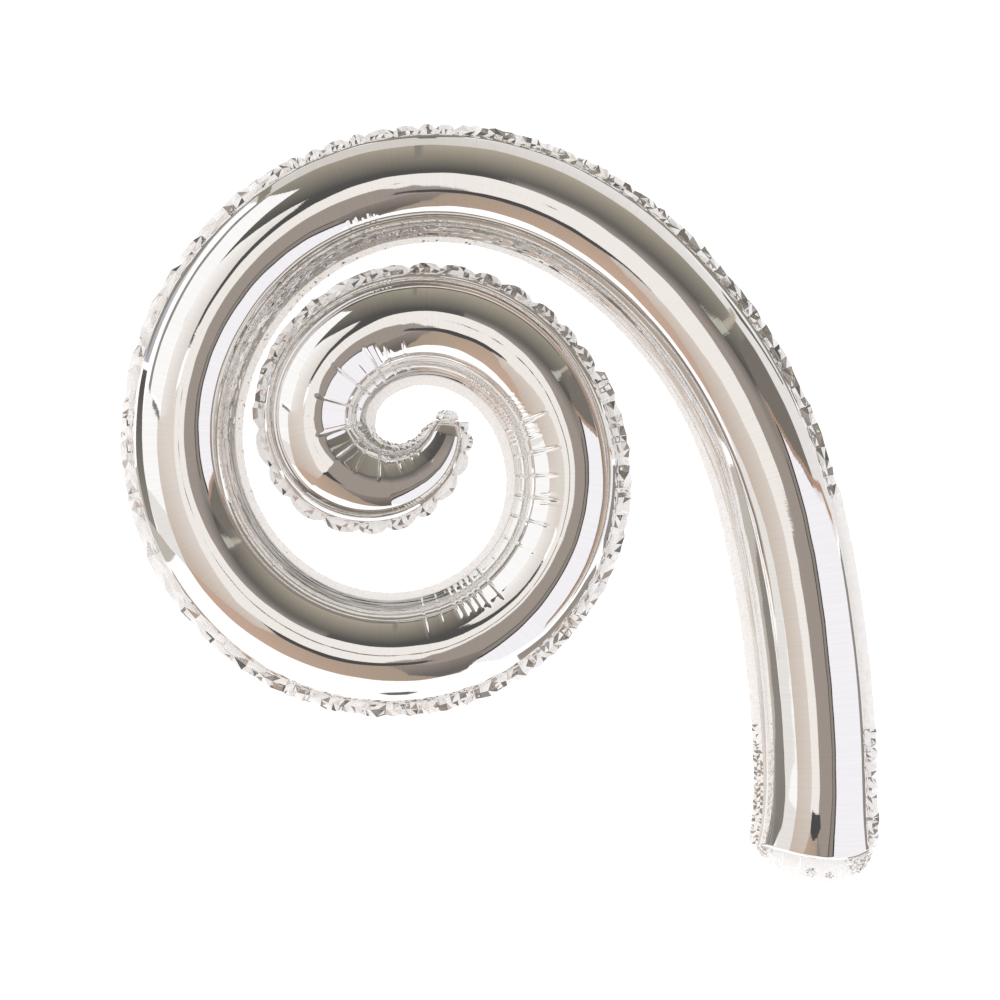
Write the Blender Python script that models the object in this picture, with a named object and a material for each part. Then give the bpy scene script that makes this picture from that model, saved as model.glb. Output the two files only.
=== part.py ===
"""Spiral foil balloon.

A tube of metallised film, curled like a fern tip. Two sheets are sealed together along both edges,
so the balloon is a front shell and a back shell over flat seals that run round the outside and the
inside of the curl, a small seal at the tip, and a tail tab with the filling valve in it.

Frame: the curl lies in the XZ plane and its front faces -Y. The origin is the tie point on the
tail tab, half way through its thickness.
"""
import math

import bmesh
import bpy
import numpy as np

MM = 0.001
OBJECT_NAME = "spiral_foil_balloon"

# Centreline of the tube: distance from the tie point (mm), heading in the XZ plane (degrees).
HEADINGS = (
    (0, 85.8), (80, 95.0), (160, 103.2), (240, 121.6), (320, 144.1), (400, 176.8),
    (480, 215.9), (560, 253.8), (640, 296.7), (720, 342.8), (800, 395.9), (880, 453.2),
    (950, 507.2), (1010, 564.8), (1050, 613.5), (1085, 676.1), (1120, 740.0), (1156, 807.5),
)
LENGTH = 1156.0 * MM
INTEGRATION_STEPS = 4624

# Tube section.
TUBE_HALF_WIDTH = 24.2 * MM
TAIL_HALF_WIDTH = 26.8 * MM
TAIL_FLARE_LENGTH = 45.0 * MM
TIP_WIDTHS = (
    (1060, 24.2), (1085, 23.3), (1100, 20.6), (1113, 17.9),
    (1127, 14.1), (1140, 11.0), (1150, 8.6), (1156, 5.5),
)
DEPTH_TO_WIDTH = 0.97
SKIRT_WIDTHS = ((0, 1.5), (70, 3.3), (165, 3.4), (205, 6.0), (1060, 6.8), (1156, 1.2))
WALL = 0.8 * MM
SHELL_FLOOR = 0.7 * MM
TAIL_ROUNDING = 24.0 * MM
TIP_ROUNDING = 5.0 * MM
BULGE_ANGLES = (0, 16, 34, 54, 76, 100, 124, 146, 166)
SKIRT_STEPS = ((0.62, 0.075), (0.0, 0.0))

# Line where the inflated tube ends at the tail: an arc that sags to one side.
TAIL_SEAM_LOW = 3.2 * MM
TAIL_SEAM_RISE = 5.4 * MM
TAIL_SEAM_CENTRE = 7.0 * MM
TAIL_SEAM_REACH = (33.0 * MM, 20.0 * MM)
TAIL_SEAM_FADE = 32.0 * MM

# Heat seals.
SEAL_HALF_THICKNESS = 0.4 * MM
SEAL_TUCK = 1.8 * MM
OUTER_SEAL_WIDTH = 5.0 * MM
INNER_SEAL_WIDTHS = (
    (0, 4.8), (160, 4.8), (240, 2.6), (400, 2.6), (520, 3.6), (830, 3.6),
    (900, 4.6), (1085, 4.8), (1115, 2.4), (1156, 1.4),
)
SEAL_START = 11.0 * MM

# Tip seal.
TIP_TUCK = 1.8 * MM
TIP_LENGTH = 5.0 * MM
TIP_NECK_HALF = 3.3 * MM
TIP_HALF = 5.2 * MM

# Tail tab and valve.
TAB_CENTRE = 5.6 * MM
TAB_REACH = (33.0 * MM, 22.5 * MM)
TAB_TOP = 10.6 * MM
TAB_SAG = 17.5 * MM
TAB_SHOULDER = 24.0 * MM
TAB_TUCK = 2.2 * MM
TAB_ENDS = (-27.2 * MM, 27.9 * MM)
TAB_CLEAR = 0.6 * MM
TAB_EDGE_HALF = 0.3 * MM
TAB_STEP = 4.6 * MM
VALVE_CENTRE = -10.0 * MM
VALVE_HALF_WIDTH = 4.0 * MM
VALVE_BOTTOM = -1.2 * MM
VALVE_TOP = 58.0 * MM
FIT_GAP = 0.3 * MM

# Spacing of the stations along the tube.
LONGEST_STEP = 22.0 * MM
TURN_STEP = math.radians(10.0)


def natural_spline(knots, values, where):
    """Natural cubic spline through (knots, values), read at the given places."""
    count = len(knots)
    gaps = np.diff(knots)
    matrix = np.zeros((count, count))
    right = np.zeros(count)
    matrix[0, 0] = matrix[-1, -1] = 1.0
    for i in range(1, count - 1):
        matrix[i, i - 1] = gaps[i - 1]
        matrix[i, i] = 2.0 * (gaps[i - 1] + gaps[i])
        matrix[i, i + 1] = gaps[i]
        slope_after = (values[i + 1] - values[i]) / gaps[i]
        slope_before = (values[i] - values[i - 1]) / gaps[i - 1]
        right[i] = 6.0 * (slope_after - slope_before)
    bend = np.linalg.solve(matrix, right)
    i = np.clip(np.searchsorted(knots, where) - 1, 0, count - 2)
    gap = gaps[i]
    before = where - knots[i]
    after = knots[i + 1] - where
    curved = (bend[i] * after**3 + bend[i + 1] * before**3) / (6.0 * gap)
    left_part = (values[i] / gap - bend[i] * gap / 6.0) * after
    right_part = (values[i + 1] / gap - bend[i + 1] * gap / 6.0) * before
    return curved + left_part + right_part


class Centreline:
    """The curl: its heading is a spline of distance, and its points are summed from it."""

    def __init__(self):
        knots = np.array([knot for knot, _ in HEADINGS]) * MM
        angles = np.radians([angle for _, angle in HEADINGS])
        self.distance = np.linspace(0.0, LENGTH, INTEGRATION_STEPS + 1)
        middle = 0.5 * (self.distance[1:] + self.distance[:-1])
        step = self.distance[1]
        heading = natural_spline(knots, angles, middle)
        self.x = np.concatenate(([0.0], np.cumsum(np.cos(heading)) * step))
        self.z = np.concatenate(([0.0], np.cumsum(np.sin(heading)) * step))
        self.heading = natural_spline(knots, angles, self.distance)

    def place(self, distance, across, height):
        """World point at a distance along the tube, across it (+ is outside) and above its plane."""
        inside = min(max(distance, 0.0), LENGTH)
        beyond = distance - inside
        angle = float(np.interp(inside, self.distance, self.heading))
        x = float(np.interp(inside, self.distance, self.x)) + beyond * math.cos(angle)
        z = float(np.interp(inside, self.distance, self.z)) + beyond * math.sin(angle)
        return (x + across * math.sin(angle), height, z - across * math.cos(angle))

    def stations(self, start, end, extra):
        """Distances from start to end, closer together where the curl is tight, with the extra ones."""
        turn = np.abs(np.gradient(self.heading, self.distance)) / TURN_STEP
        density = np.maximum(turn, 1.0 / LONGEST_STEP)
        filled = np.concatenate(([0.0], np.cumsum(0.5 * (density[1:] + density[:-1]))))
        filled *= self.distance[1]
        low, high = np.interp([start, end], self.distance, filled)
        count = max(2, int(math.ceil(high - low)))
        even = np.interp(np.linspace(low, high, count + 1), filled, self.distance)
        closest = 1.6 * MM
        kept = [value for value in even if all(abs(value - other) > closest for other in extra)]
        return sorted(set(kept) | set(extra))


def table(rows, distance):
    """Value of a table of (mm, mm) rows at a distance in metres."""
    places = [place * MM for place, _ in rows]
    values = [value * MM for _, value in rows]
    return float(np.interp(distance, places, values))


def half_width(distance):
    """Half the width of the tube between its two seals."""
    if distance > TIP_WIDTHS[0][0] * MM:
        return table(TIP_WIDTHS, distance)
    flare = max(0.0, 1.0 - distance / TAIL_FLARE_LENGTH)
    return TUBE_HALF_WIDTH + (TAIL_HALF_WIDTH - TUBE_HALF_WIDTH) * flare**2


def half_depth(distance, inset):
    """Height of the shell over the seals, brought down to the wall thickness at both ends."""
    full = DEPTH_TO_WIDTH * min(half_width(distance), TUBE_HALF_WIDTH)
    from_tail = (distance - TAIL_SEAM_LOW - inset) / (TAIL_ROUNDING - inset)
    from_tip = (LENGTH - distance - inset) / (TIP_ROUNDING - inset)
    rounding = 1.0
    for part in (from_tail, from_tip):
        part = min(max(part, 0.0), 1.0)
        rounding *= math.sqrt(1.0 - (1.0 - part) ** 2)
    return max(WALL, full * rounding)


def tail_seam(across):
    """Distance of the tail seam line for a place across the tube."""
    offset = across - TAIL_SEAM_CENTRE
    reach = TAIL_SEAM_REACH[0] if offset < 0.0 else TAIL_SEAM_REACH[1]
    return TAIL_SEAM_LOW + TAIL_SEAM_RISE * (offset / reach) ** 2


def bent_rows(distance, across):
    """Distance of a point once the rows near the tail follow the tail seam line."""
    fade = min(max(1.0 - (distance - TAIL_SEAM_LOW) / TAIL_SEAM_FADE, 0.0), 1.0)
    return distance + (tail_seam(across) - TAIL_SEAM_LOW) * fade**2


def section(distance, inset):
    """Outer line of the shell section: a lip, the round bulge, and the skirt on the inside."""
    width = half_width(distance)
    depth = half_depth(distance, inset)
    skirt = table(SKIRT_WIDTHS, distance)
    bulge = width - 0.5 * skirt
    rim = SHELL_FLOOR + WALL
    points = [(width, SHELL_FLOOR)]
    for degrees in BULGE_ANGLES:
        angle = math.radians(degrees)
        points.append((0.5 * skirt + bulge * math.cos(angle), rim + (depth - WALL) * math.sin(angle)))
    for out, rise in SKIRT_STEPS:
        points.append((out * skirt - width, rim + (depth - WALL) * rise))
    return np.array(points)


def inner_section(distance):
    """Section moved inwards by the wall thickness and kept above the seals."""
    points = section(distance, WALL)
    sides = np.diff(points, axis=0)
    normals = np.stack((sides[:, 1], -sides[:, 0]), axis=1)
    normals /= np.maximum(np.linalg.norm(normals, axis=1), 1e-9)[:, None]
    mean = np.vstack((normals[:1], normals[1:] + normals[:-1], normals[-1:]))
    mean /= np.linalg.norm(mean, axis=1)[:, None]
    moved = points - mean * WALL
    moved[:, 1] = np.maximum(moved[:, 1], SHELL_FLOOR)
    return moved


def slab(name, rows, columns, place, open_cell=None):
    """Closed slab of rows x columns points in two layers, each vertex put where place says."""
    mesh = bmesh.new()
    bmesh.ops.create_grid(mesh, x_segments=rows - 1, y_segments=columns - 1, size=0.5)
    if open_cell:
        cells = []
        for face in mesh.faces:
            middle = face.calc_center_median()
            row = math.floor((middle.x + 0.5) * (rows - 1))
            column = math.floor((middle.y + 0.5) * (columns - 1))
            if open_cell(row, column):
                cells.append(face)
        bmesh.ops.delete(mesh, geom=cells, context="FACES")
    made = bmesh.ops.extrude_face_region(mesh, geom=mesh.faces[:])
    upper = [item for item in made["geom"] if isinstance(item, bmesh.types.BMVert)]
    bmesh.ops.translate(mesh, verts=upper, vec=(0.0, 0.0, 1.0))
    for vertex in mesh.verts:
        row = round((vertex.co.x + 0.5) * (rows - 1))
        column = round((vertex.co.y + 0.5) * (columns - 1))
        vertex.co = place(row, column, round(vertex.co.z))
    return finish_mesh(name, mesh)


def plate(name, outline, half_thickness, place):
    """Flat plate from a closed outline of (distance, across) points."""
    mesh = bmesh.new()
    corners = [mesh.verts.new(place(d, a, -half_thickness)) for d, a in outline]
    face = mesh.faces.new(corners)
    made = bmesh.ops.extrude_face_region(mesh, geom=[face])
    upper = [item for item in made["geom"] if isinstance(item, bmesh.types.BMVert)]
    bmesh.ops.translate(mesh, verts=upper, vec=(0.0, 2.0 * half_thickness, 0.0))
    return finish_mesh(name, mesh)


def finish_mesh(name, mesh):
    """Turn a bmesh into an object with all faces outwards."""
    bmesh.ops.recalc_face_normals(mesh, faces=mesh.faces[:])
    if mesh.calc_volume(signed=True) < 0.0:
        bmesh.ops.reverse_faces(mesh, faces=mesh.faces[:])
    data = bpy.data.meshes.new(name)
    mesh.to_mesh(data)
    mesh.free()
    return bpy.data.objects.new(name, data)


def film_shell(name, line, side):
    """One half of the inflated tube; side is -1 for the front and +1 for the back."""
    ends = [TAIL_SEAM_LOW + step * MM for step in (0.0, 1.2, 3.5, 7.5, 13.0, 20.0)]
    ends += [LENGTH - step * MM for step in (9.0, 6.0, 3.6, 1.7, 0.6, 0.0)]
    distances = line.stations(TAIL_SEAM_LOW, LENGTH, ends)
    outer = [section(distance, 0.0) for distance in distances]
    inner = [inner_section(distance) for distance in distances]

    def place(row, column, layer):
        across, height = (outer if layer else inner)[row][column]
        return line.place(bent_rows(distances[row], across), across, side * height)

    return slab(name, len(distances), len(outer[0]), place)


def edge_seal(name, line, edges):
    """Flat seal along one edge of the tube; edges gives its two sides at a distance."""
    distances = line.stations(SEAL_START, LENGTH, [SEAL_START, LENGTH])

    def place(row, column, layer):
        distance = distances[row]
        across = edges(distance)[column]
        return line.place(distance, across, (2 * layer - 1) * SEAL_HALF_THICKNESS)

    return slab(name, len(distances), 2, place)


def outer_seal_edges(distance):
    """Sides of the seal on the outside of the curl."""
    width = half_width(distance)
    return (width - SEAL_TUCK, width + OUTER_SEAL_WIDTH)


def inner_seal_edges(distance):
    """Sides of the seal on the inside of the curl."""
    width = half_width(distance)
    return (SEAL_TUCK - width, -width - table(INNER_SEAL_WIDTHS, distance))


def tip_outline():
    """Outline of the tip seal: a neck under the shells and a rounded flap beyond them."""
    step = LENGTH + FIT_GAP
    outline = [(LENGTH - TIP_TUCK, -TIP_NECK_HALF), (LENGTH - TIP_TUCK, TIP_NECK_HALF)]
    outline += [(step, TIP_NECK_HALF), (step + FIT_GAP, TIP_HALF)]
    for degrees in (25, 50, 75, 105, 130, 155):
        angle = math.radians(degrees)
        out = (TIP_LENGTH - 2.0 * FIT_GAP) * math.sin(angle)
        outline.append((step + FIT_GAP + out, TIP_HALF * math.cos(angle)))
    outline += [(step + FIT_GAP, -TIP_HALF), (step, -TIP_NECK_HALF)]
    return outline


def tab_edge(across):
    """Distance of the free lower edge of the tail tab."""
    offset = across - TAB_CENTRE
    reach = TAB_REACH[0] if offset < 0.0 else TAB_REACH[1]
    return TAB_TOP - TAB_SAG * math.sqrt(max(0.0, 1.0 - (offset / reach) ** 2))


def tab_columns(across):
    """Distances on the tab at a place across it: free edge, slot line, end of the shells, upper edge."""
    low = tab_edge(across)
    if abs(across) > TAB_SHOULDER:
        clear, top = TAB_TOP - TAB_CLEAR, TAB_TOP
    else:
        clear, top = tail_seam(across) - TAB_CLEAR, tail_seam(across) + TAB_TUCK
    middle = VALVE_BOTTOM - FIT_GAP
    if abs(across - VALVE_CENTRE) > VALVE_HALF_WIDTH + 2.0 * FIT_GAP:
        middle = max(middle, low + 0.35 * (clear - low))
    return (low, middle, clear, top)


def tail_tab(name, line):
    """Flat tab with a rounded free edge, tucked under the shells, with a slot for the valve."""
    slot = VALVE_HALF_WIDTH + FIT_GAP
    stops = (TAB_ENDS[0], -TAB_SHOULDER, VALVE_CENTRE - slot, VALVE_CENTRE + slot, TAB_SHOULDER, TAB_ENDS[1])
    across = [stops[0]]
    for start, end in zip(stops, stops[1:]):
        parts = max(1, round((end - start) / TAB_STEP))
        across += [start + (end - start) * (i + 1) / parts for i in range(parts)]

    def slotted(row, column):
        middle = 0.5 * (across[row] + across[row + 1])
        return column > 0 and abs(middle - VALVE_CENTRE) < slot

    def place(row, column, layer):
        distance = tab_columns(across[row])[column]
        height = TAB_EDGE_HALF if column == 3 else SEAL_HALF_THICKNESS
        return line.place(distance, across[row], (2 * layer - 1) * height)

    return slab(name, len(across), 4, place, slotted)


def valve_outline():
    """Outline of the filling valve: a strip with a rounded inner end."""
    low = VALVE_CENTRE - VALVE_HALF_WIDTH
    high = VALVE_CENTRE + VALVE_HALF_WIDTH
    rows = [VALVE_BOTTOM + (VALVE_TOP - VALVE_BOTTOM) * i / 4 for i in range(5)]
    outline = [(row, high) for row in rows]
    for degrees in (30, 60, 90, 120, 150):
        angle = math.radians(degrees)
        out = VALVE_TOP + VALVE_HALF_WIDTH * math.sin(angle)
        outline.append((out, VALVE_CENTRE + VALVE_HALF_WIDTH * math.cos(angle)))
    outline += [(row, low) for row in reversed(rows)]
    return outline


def finish_material(name, colour, metallic, roughness):
    """Principled material of one finish."""
    material = bpy.data.materials.new(name)
    material.use_nodes = True
    shader = material.node_tree.nodes["Principled BSDF"]
    shader.inputs["Base Color"].default_value = (*colour, 1.0)
    shader.inputs["Metallic"].default_value = metallic
    shader.inputs["Roughness"].default_value = roughness
    material.diffuse_color = (*colour, 1.0)
    return material


def build():
    """Make the balloon and put it in its own collection."""
    for item in list(bpy.data.objects):
        bpy.data.objects.remove(item, do_unlink=True)
    balloon = bpy.data.collections.new(OBJECT_NAME)
    bpy.context.scene.collection.children.link(balloon)
    line = Centreline()
    pieces = (
        (film_shell("front_foil", line, -1.0), "front film", (0.86, 0.86, 0.88), 1.0, 0.06),
        (film_shell("back_foil", line, 1.0), "back film", (0.84, 0.84, 0.86), 1.0, 0.08),
        (edge_seal("outer_seal", line, outer_seal_edges), "outer seal", (0.80, 0.80, 0.81), 1.0, 0.25),
        (edge_seal("inner_seal", line, inner_seal_edges), "inner seal", (0.82, 0.80, 0.78), 1.0, 0.32),
        (plate("tip_seal", tip_outline(), SEAL_HALF_THICKNESS, line.place),
         "tip seal", (0.78, 0.78, 0.79), 1.0, 0.28),
        (tail_tab("tail_tab", line), "tab film", (0.83, 0.82, 0.81), 1.0, 0.30),
        (plate("filling_valve", valve_outline(), SEAL_HALF_THICKNESS, line.place),
         "valve film", (0.88, 0.89, 0.90), 0.0, 0.35),
    )
    for item, finish, colour, metallic, roughness in pieces:
        item.data.materials.append(finish_material(finish, colour, metallic, roughness))
        balloon.objects.link(item)


build()
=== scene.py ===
import logging
import math
from dataclasses import dataclass, field
from enum import Enum
from typing import Any

import bmesh
import bpy
import numpy as np
from mathutils import Matrix


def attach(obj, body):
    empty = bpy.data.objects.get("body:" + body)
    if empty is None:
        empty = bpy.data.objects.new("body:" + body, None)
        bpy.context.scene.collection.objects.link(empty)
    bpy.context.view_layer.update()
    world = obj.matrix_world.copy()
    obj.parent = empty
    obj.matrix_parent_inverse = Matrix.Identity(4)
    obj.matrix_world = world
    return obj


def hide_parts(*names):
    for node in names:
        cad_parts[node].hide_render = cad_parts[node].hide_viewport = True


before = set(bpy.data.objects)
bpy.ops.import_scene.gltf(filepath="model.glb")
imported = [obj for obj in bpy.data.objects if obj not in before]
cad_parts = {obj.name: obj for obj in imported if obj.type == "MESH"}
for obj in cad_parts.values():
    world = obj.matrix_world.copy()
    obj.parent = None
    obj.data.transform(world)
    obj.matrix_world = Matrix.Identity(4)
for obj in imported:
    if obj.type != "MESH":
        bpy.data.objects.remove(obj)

"""Spiral foil balloon, dressed: two mirror-bright film shells, crinkled seals and a tail tab.

Lengths in the classes are millimetres along and across the tube, as on the flat film. They become
metres where a mesh is made.
"""

log = logging.getLogger("spiral_foil_balloon")
MM = 0.001
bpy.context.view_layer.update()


class Side(Enum):
    """Which way a piece faces off the plane of the curl."""

    FRONT = -1.0
    BACK = 1.0


def linear(code: str) -> tuple[float, float, float]:
    """Turn an sRGB hex colour into linear light."""
    parts = [int(code[i : i + 2], 16) / 255.0 for i in (1, 3, 5)]
    return tuple(c / 12.92 if c <= 0.04045 else ((c + 0.055) / 1.055) ** 2.4 for c in parts)


def add_node(
    tree: bpy.types.NodeTree, kind: str, settings: dict[str, Any] | None = None, links: dict[Any, Any] | None = None
) -> bpy.types.Node:
    """Add a node with its settings and links.

    Args:
        tree: the tree that gets the node.
        kind: the node's type name.
        settings: attribute values of the node.
        links: for each input, by name or index, a value or the socket that feeds it.

    Returns:
        The new node.
    """
    node = tree.nodes.new(kind)
    for name, value in (settings or {}).items():
        setattr(node, name, value)
    for key, value in (links or {}).items():
        socket = node.inputs[key]
        if isinstance(value, bpy.types.NodeSocket):
            tree.links.new(value, socket)
        else:
            socket.default_value = value
    return node


def smooth_step(low: float, high: float, value: np.ndarray) -> np.ndarray:
    """Rise smoothly from 0 at low to 1 at high."""
    t = np.clip((value - low) / (high - low), 0.0, 1.0)
    return t * t * (3.0 - 2.0 * t)


def natural_spline(knots: np.ndarray, values: np.ndarray, where: np.ndarray) -> np.ndarray:
    """Read a natural cubic spline.

    Args:
        knots: places of the given values, rising.
        values: value at each knot.
        where: places to read the spline at.

    Returns:
        The spline's values there.
    """
    count = len(knots)
    gaps = np.diff(knots)
    slopes = np.diff(values) / gaps
    matrix = np.eye(count)
    right = np.zeros(count)
    for i in range(1, count - 1):
        matrix[i, i - 1 : i + 2] = gaps[i - 1], 2.0 * (gaps[i - 1] + gaps[i]), gaps[i]
        right[i] = 6.0 * (slopes[i] - slopes[i - 1])
    bend = np.linalg.solve(matrix, right)
    i = np.clip(np.searchsorted(knots, where) - 1, 0, count - 2)
    gap, before, after = gaps[i], where - knots[i], knots[i + 1] - where
    curved = (bend[i] * after**3 + bend[i + 1] * before**3) / (6.0 * gap)
    return (
        curved
        + (values[i] / gap - bend[i] * gap / 6.0) * after
        + (values[i + 1] / gap - bend[i + 1] * gap / 6.0) * before
    )


@dataclass
class Curl:
    """The path of the tube: its heading is a spline of the distance from the tie point."""

    headings: tuple[tuple[float, float], ...] = (
        (0, 85.8), (80, 95.0), (160, 103.2), (240, 121.6), (320, 144.1), (400, 176.8),
        (480, 215.9), (560, 253.8), (640, 296.7), (720, 342.8), (800, 395.9), (880, 453.2),
        (950, 507.2), (1010, 564.8), (1050, 613.5), (1085, 676.1), (1120, 740.0), (1156, 807.5),
    )
    length: float = 1156.0
    lead: float = 24.0
    step: float = 0.5

    def __post_init__(self) -> None:
        """Sum the path's points from its heading, with a straight lead at both ends."""
        knots = np.array([place for place, _ in self.headings], float)
        angles = np.radians([angle for _, angle in self.headings])
        self.distance = np.arange(-self.lead, self.length + self.lead + self.step, self.step)
        middle = np.clip(self.distance[:-1] + 0.5 * self.step, 0.0, self.length)
        heading = natural_spline(knots, angles, middle)
        x = np.concatenate(([0.0], np.cumsum(np.cos(heading)) * self.step))
        z = np.concatenate(([0.0], np.cumsum(np.sin(heading)) * self.step))
        start = int(round(self.lead / self.step))
        self.x, self.z = x - x[start], z - z[start]

    def make_curve(self) -> bpy.types.Object:
        """Make the path as a curve object in metres, for the wrapping tree to read."""
        data = bpy.data.curves.new("curl path", "CURVE")
        data.dimensions = "3D"
        spline = data.splines.new("POLY")
        spline.points.add(len(self.distance) - 1)
        flat = np.stack((self.x * MM, np.zeros_like(self.x), self.z * MM, np.ones_like(self.x)), axis=1)
        spline.points.foreach_set("co", flat.astype(np.float32).ravel())
        path = bpy.data.objects.new("curl path", data)
        bpy.context.scene.collection.objects.link(path)
        return path


@dataclass
class TubeSection:
    """Shape of the inflated tube across its length, in millimetres."""

    half_width: float = 24.2
    tail_half_width: float = 26.8
    tail_flare: float = 45.0
    tip_widths: tuple[tuple[float, float], ...] = (
        (1060, 24.2), (1085, 23.3), (1100, 20.6), (1113, 17.9), (1127, 14.1), (1140, 11.0), (1150, 8.6), (1156, 5.5),
    )
    skirt_widths: tuple[tuple[float, float], ...] = (
        (0, 1.5), (70, 3.3), (165, 3.4), (205, 6.0), (1060, 6.8), (1156, 1.2),
    )
    crest: tuple[tuple[float, float], ...] = ((0, 3.6), (165, 3.6), (215, 2.5), (1156, 2.5))
    inner_reach: float = 23.4
    fold: float = 15.2
    depth_ratio: float = 0.985
    tail_rounding: float = 3.0
    tail_droop: float = 0.13
    tail_droop_length: float = 32.0
    tip_rounding: float = 2.2
    tip_swell: tuple[tuple[float, float], ...] = ((0, 1.0), (1100, 1.0), (1135, 1.08), (1150, 1.2), (1156, 1.3))
    roundness: tuple[tuple[float, float], ...] = ((0, 1.0), (1112, 1.0), (1140, 0.6), (1156, 0.45))
    length: float = 1156.0
    seam_low: float = 3.2
    seam_rise: float = 5.4
    seam_centre: float = 7.0
    seam_reach: tuple[float, float] = (33.0, 20.0)
    seam_fade: float = 32.0

    def width(self, distance: np.ndarray) -> np.ndarray:
        """Half the width between the two seams."""
        flare = np.maximum(0.0, 1.0 - distance / self.tail_flare)
        body = self.half_width + (self.tail_half_width - self.half_width) * flare**2
        places, widths = zip(*self.tip_widths)
        return np.where(distance > places[0], np.interp(distance, places, widths), body)

    def skirt(self, distance: np.ndarray) -> np.ndarray:
        """Width of the skirt between the inner seam and the round of the tube."""
        return np.interp(distance, *zip(*self.skirt_widths))

    def depth(self, distance: np.ndarray) -> np.ndarray:
        """Height of the film over the seam's plane."""
        full = self.depth_ratio * np.minimum(self.width(distance), self.half_width)
        full = full * np.interp(distance, *zip(*self.tip_swell))
        tail = np.clip((distance - self.seam_low) / self.tail_rounding, 0.0, 1.0)
        droop = np.clip((distance - self.seam_low) / self.tail_droop_length, 0.0, 1.0)
        tip = np.clip((self.length - distance) / self.tip_rounding, 0.0, 1.0)
        ends = np.sqrt(1.0 - (1.0 - tail) ** 2) * np.sqrt(1.0 - (1.0 - tip) ** 2)
        return full * ends * (1.0 - self.tail_droop * (1.0 - droop) ** 2)

    def tail_seam(self, across: np.ndarray) -> np.ndarray:
        """Distance of the seam that ends the tube at the tail."""
        offset = across - self.seam_centre
        reach = np.where(offset < 0.0, self.seam_reach[0], self.seam_reach[1])
        return self.seam_low + self.seam_rise * (offset / reach) ** 2

    def follow_seam(self, distance: np.ndarray, across: np.ndarray) -> np.ndarray:
        """Bend the rows near the tail so that they follow the tail seam."""
        fade = np.clip(1.0 - (distance - self.seam_low) / self.seam_fade, 0.0, 1.0)
        return distance + (self.tail_seam(across) - self.seam_low) * fade**2


@dataclass(frozen=True)
class Crease:
    """One pucker that runs from the inner seam up the side of the tube."""

    place: float
    reach: float
    depth: float
    half_width: float = 0.7
    lean: float = 0.0


@dataclass
class Blank:
    """A piece of film before it is wrapped on the curl: a closed ring of columns for each row.

    Attributes:
        distance: place of each point along the tube, rows by columns.
        across: place across the tube, positive on the outside of the curl.
        height: place over the plane of the curl.
        pucker: how far each point is pulled in.
        crinkle: how far each point may be thrown by a random crinkle.
        pair: number that points of the two faces share, so that a crinkle moves both.
        matt: how matt each facet is, two for each cell; without it the cells stay whole.
        slack: how slack the film is at each point.
    """

    distance: np.ndarray
    across: np.ndarray
    height: np.ndarray
    pucker: np.ndarray | None = None
    crinkle: np.ndarray | None = None
    pair: np.ndarray | None = None
    matt: np.ndarray | None = None
    slack: np.ndarray | None = None

    def mesh(self, name: str) -> bpy.types.Mesh:
        """Make the blank as a closed mesh, in metres, with its film coordinates as a UV map.

        Args:
            name: name of the mesh.

        Returns:
            The mesh, with the pucker, crinkle and pair attributes on its points.
        """
        rows, columns = self.distance.shape
        points = np.stack((self.distance, self.across, self.height), axis=2) * MM
        index = np.arange(rows * columns).reshape(rows, columns)
        beside = np.roll(index, -1, axis=1)
        quads = np.stack((index[:-1], beside[:-1], beside[1:], index[1:]), axis=2)
        cells = quads.reshape(-1, 4)
        if self.matt is not None:
            turned = np.where((np.arange(len(cells)) % 2 == 1)[:, None], np.roll(cells, 1, axis=1), cells)
            cells = np.stack((turned[:, :3], turned[:, [0, 2, 3]]), axis=1).reshape(-1, 3)
        faces = cells.tolist() + [index[0, ::-1].tolist(), index[-1].tolist()]
        mesh = bpy.data.meshes.new(name)
        mesh.from_pydata(points.reshape(-1, 3).tolist(), [], faces)
        sides = np.hypot(np.diff(self.across, axis=1), np.diff(self.height, axis=1))
        around = np.concatenate((np.zeros((rows, 1)), np.cumsum(sides, axis=1)), axis=1)
        write_film_map(mesh, self.distance, around)
        for label, values, unit in (
            ("pucker", self.pucker, MM), ("crinkle", self.crinkle, MM), ("slack", self.slack, 1.0),
        ):
            attribute = mesh.attributes.new(label, "FLOAT", "POINT")
            if values is not None:
                attribute.data.foreach_set("value", (values * unit).astype(np.float32).ravel())
        attribute = mesh.attributes.new("pair", "INT", "POINT")
        pair = index if self.pair is None else self.pair
        attribute.data.foreach_set("value", pair.astype(np.int32).ravel())
        if self.matt is not None:
            write_matt(mesh, np.append(self.matt.ravel(), (1.0, 1.0)))
        return mesh


def write_matt(mesh: bpy.types.Mesh, matt: np.ndarray) -> None:
    """Write how matt each face of a mesh is, for the sealed film's material to read."""
    attribute = mesh.attributes.new("matt", "FLOAT", "FACE")
    attribute.data.foreach_set("value", matt.astype(np.float32))


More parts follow.
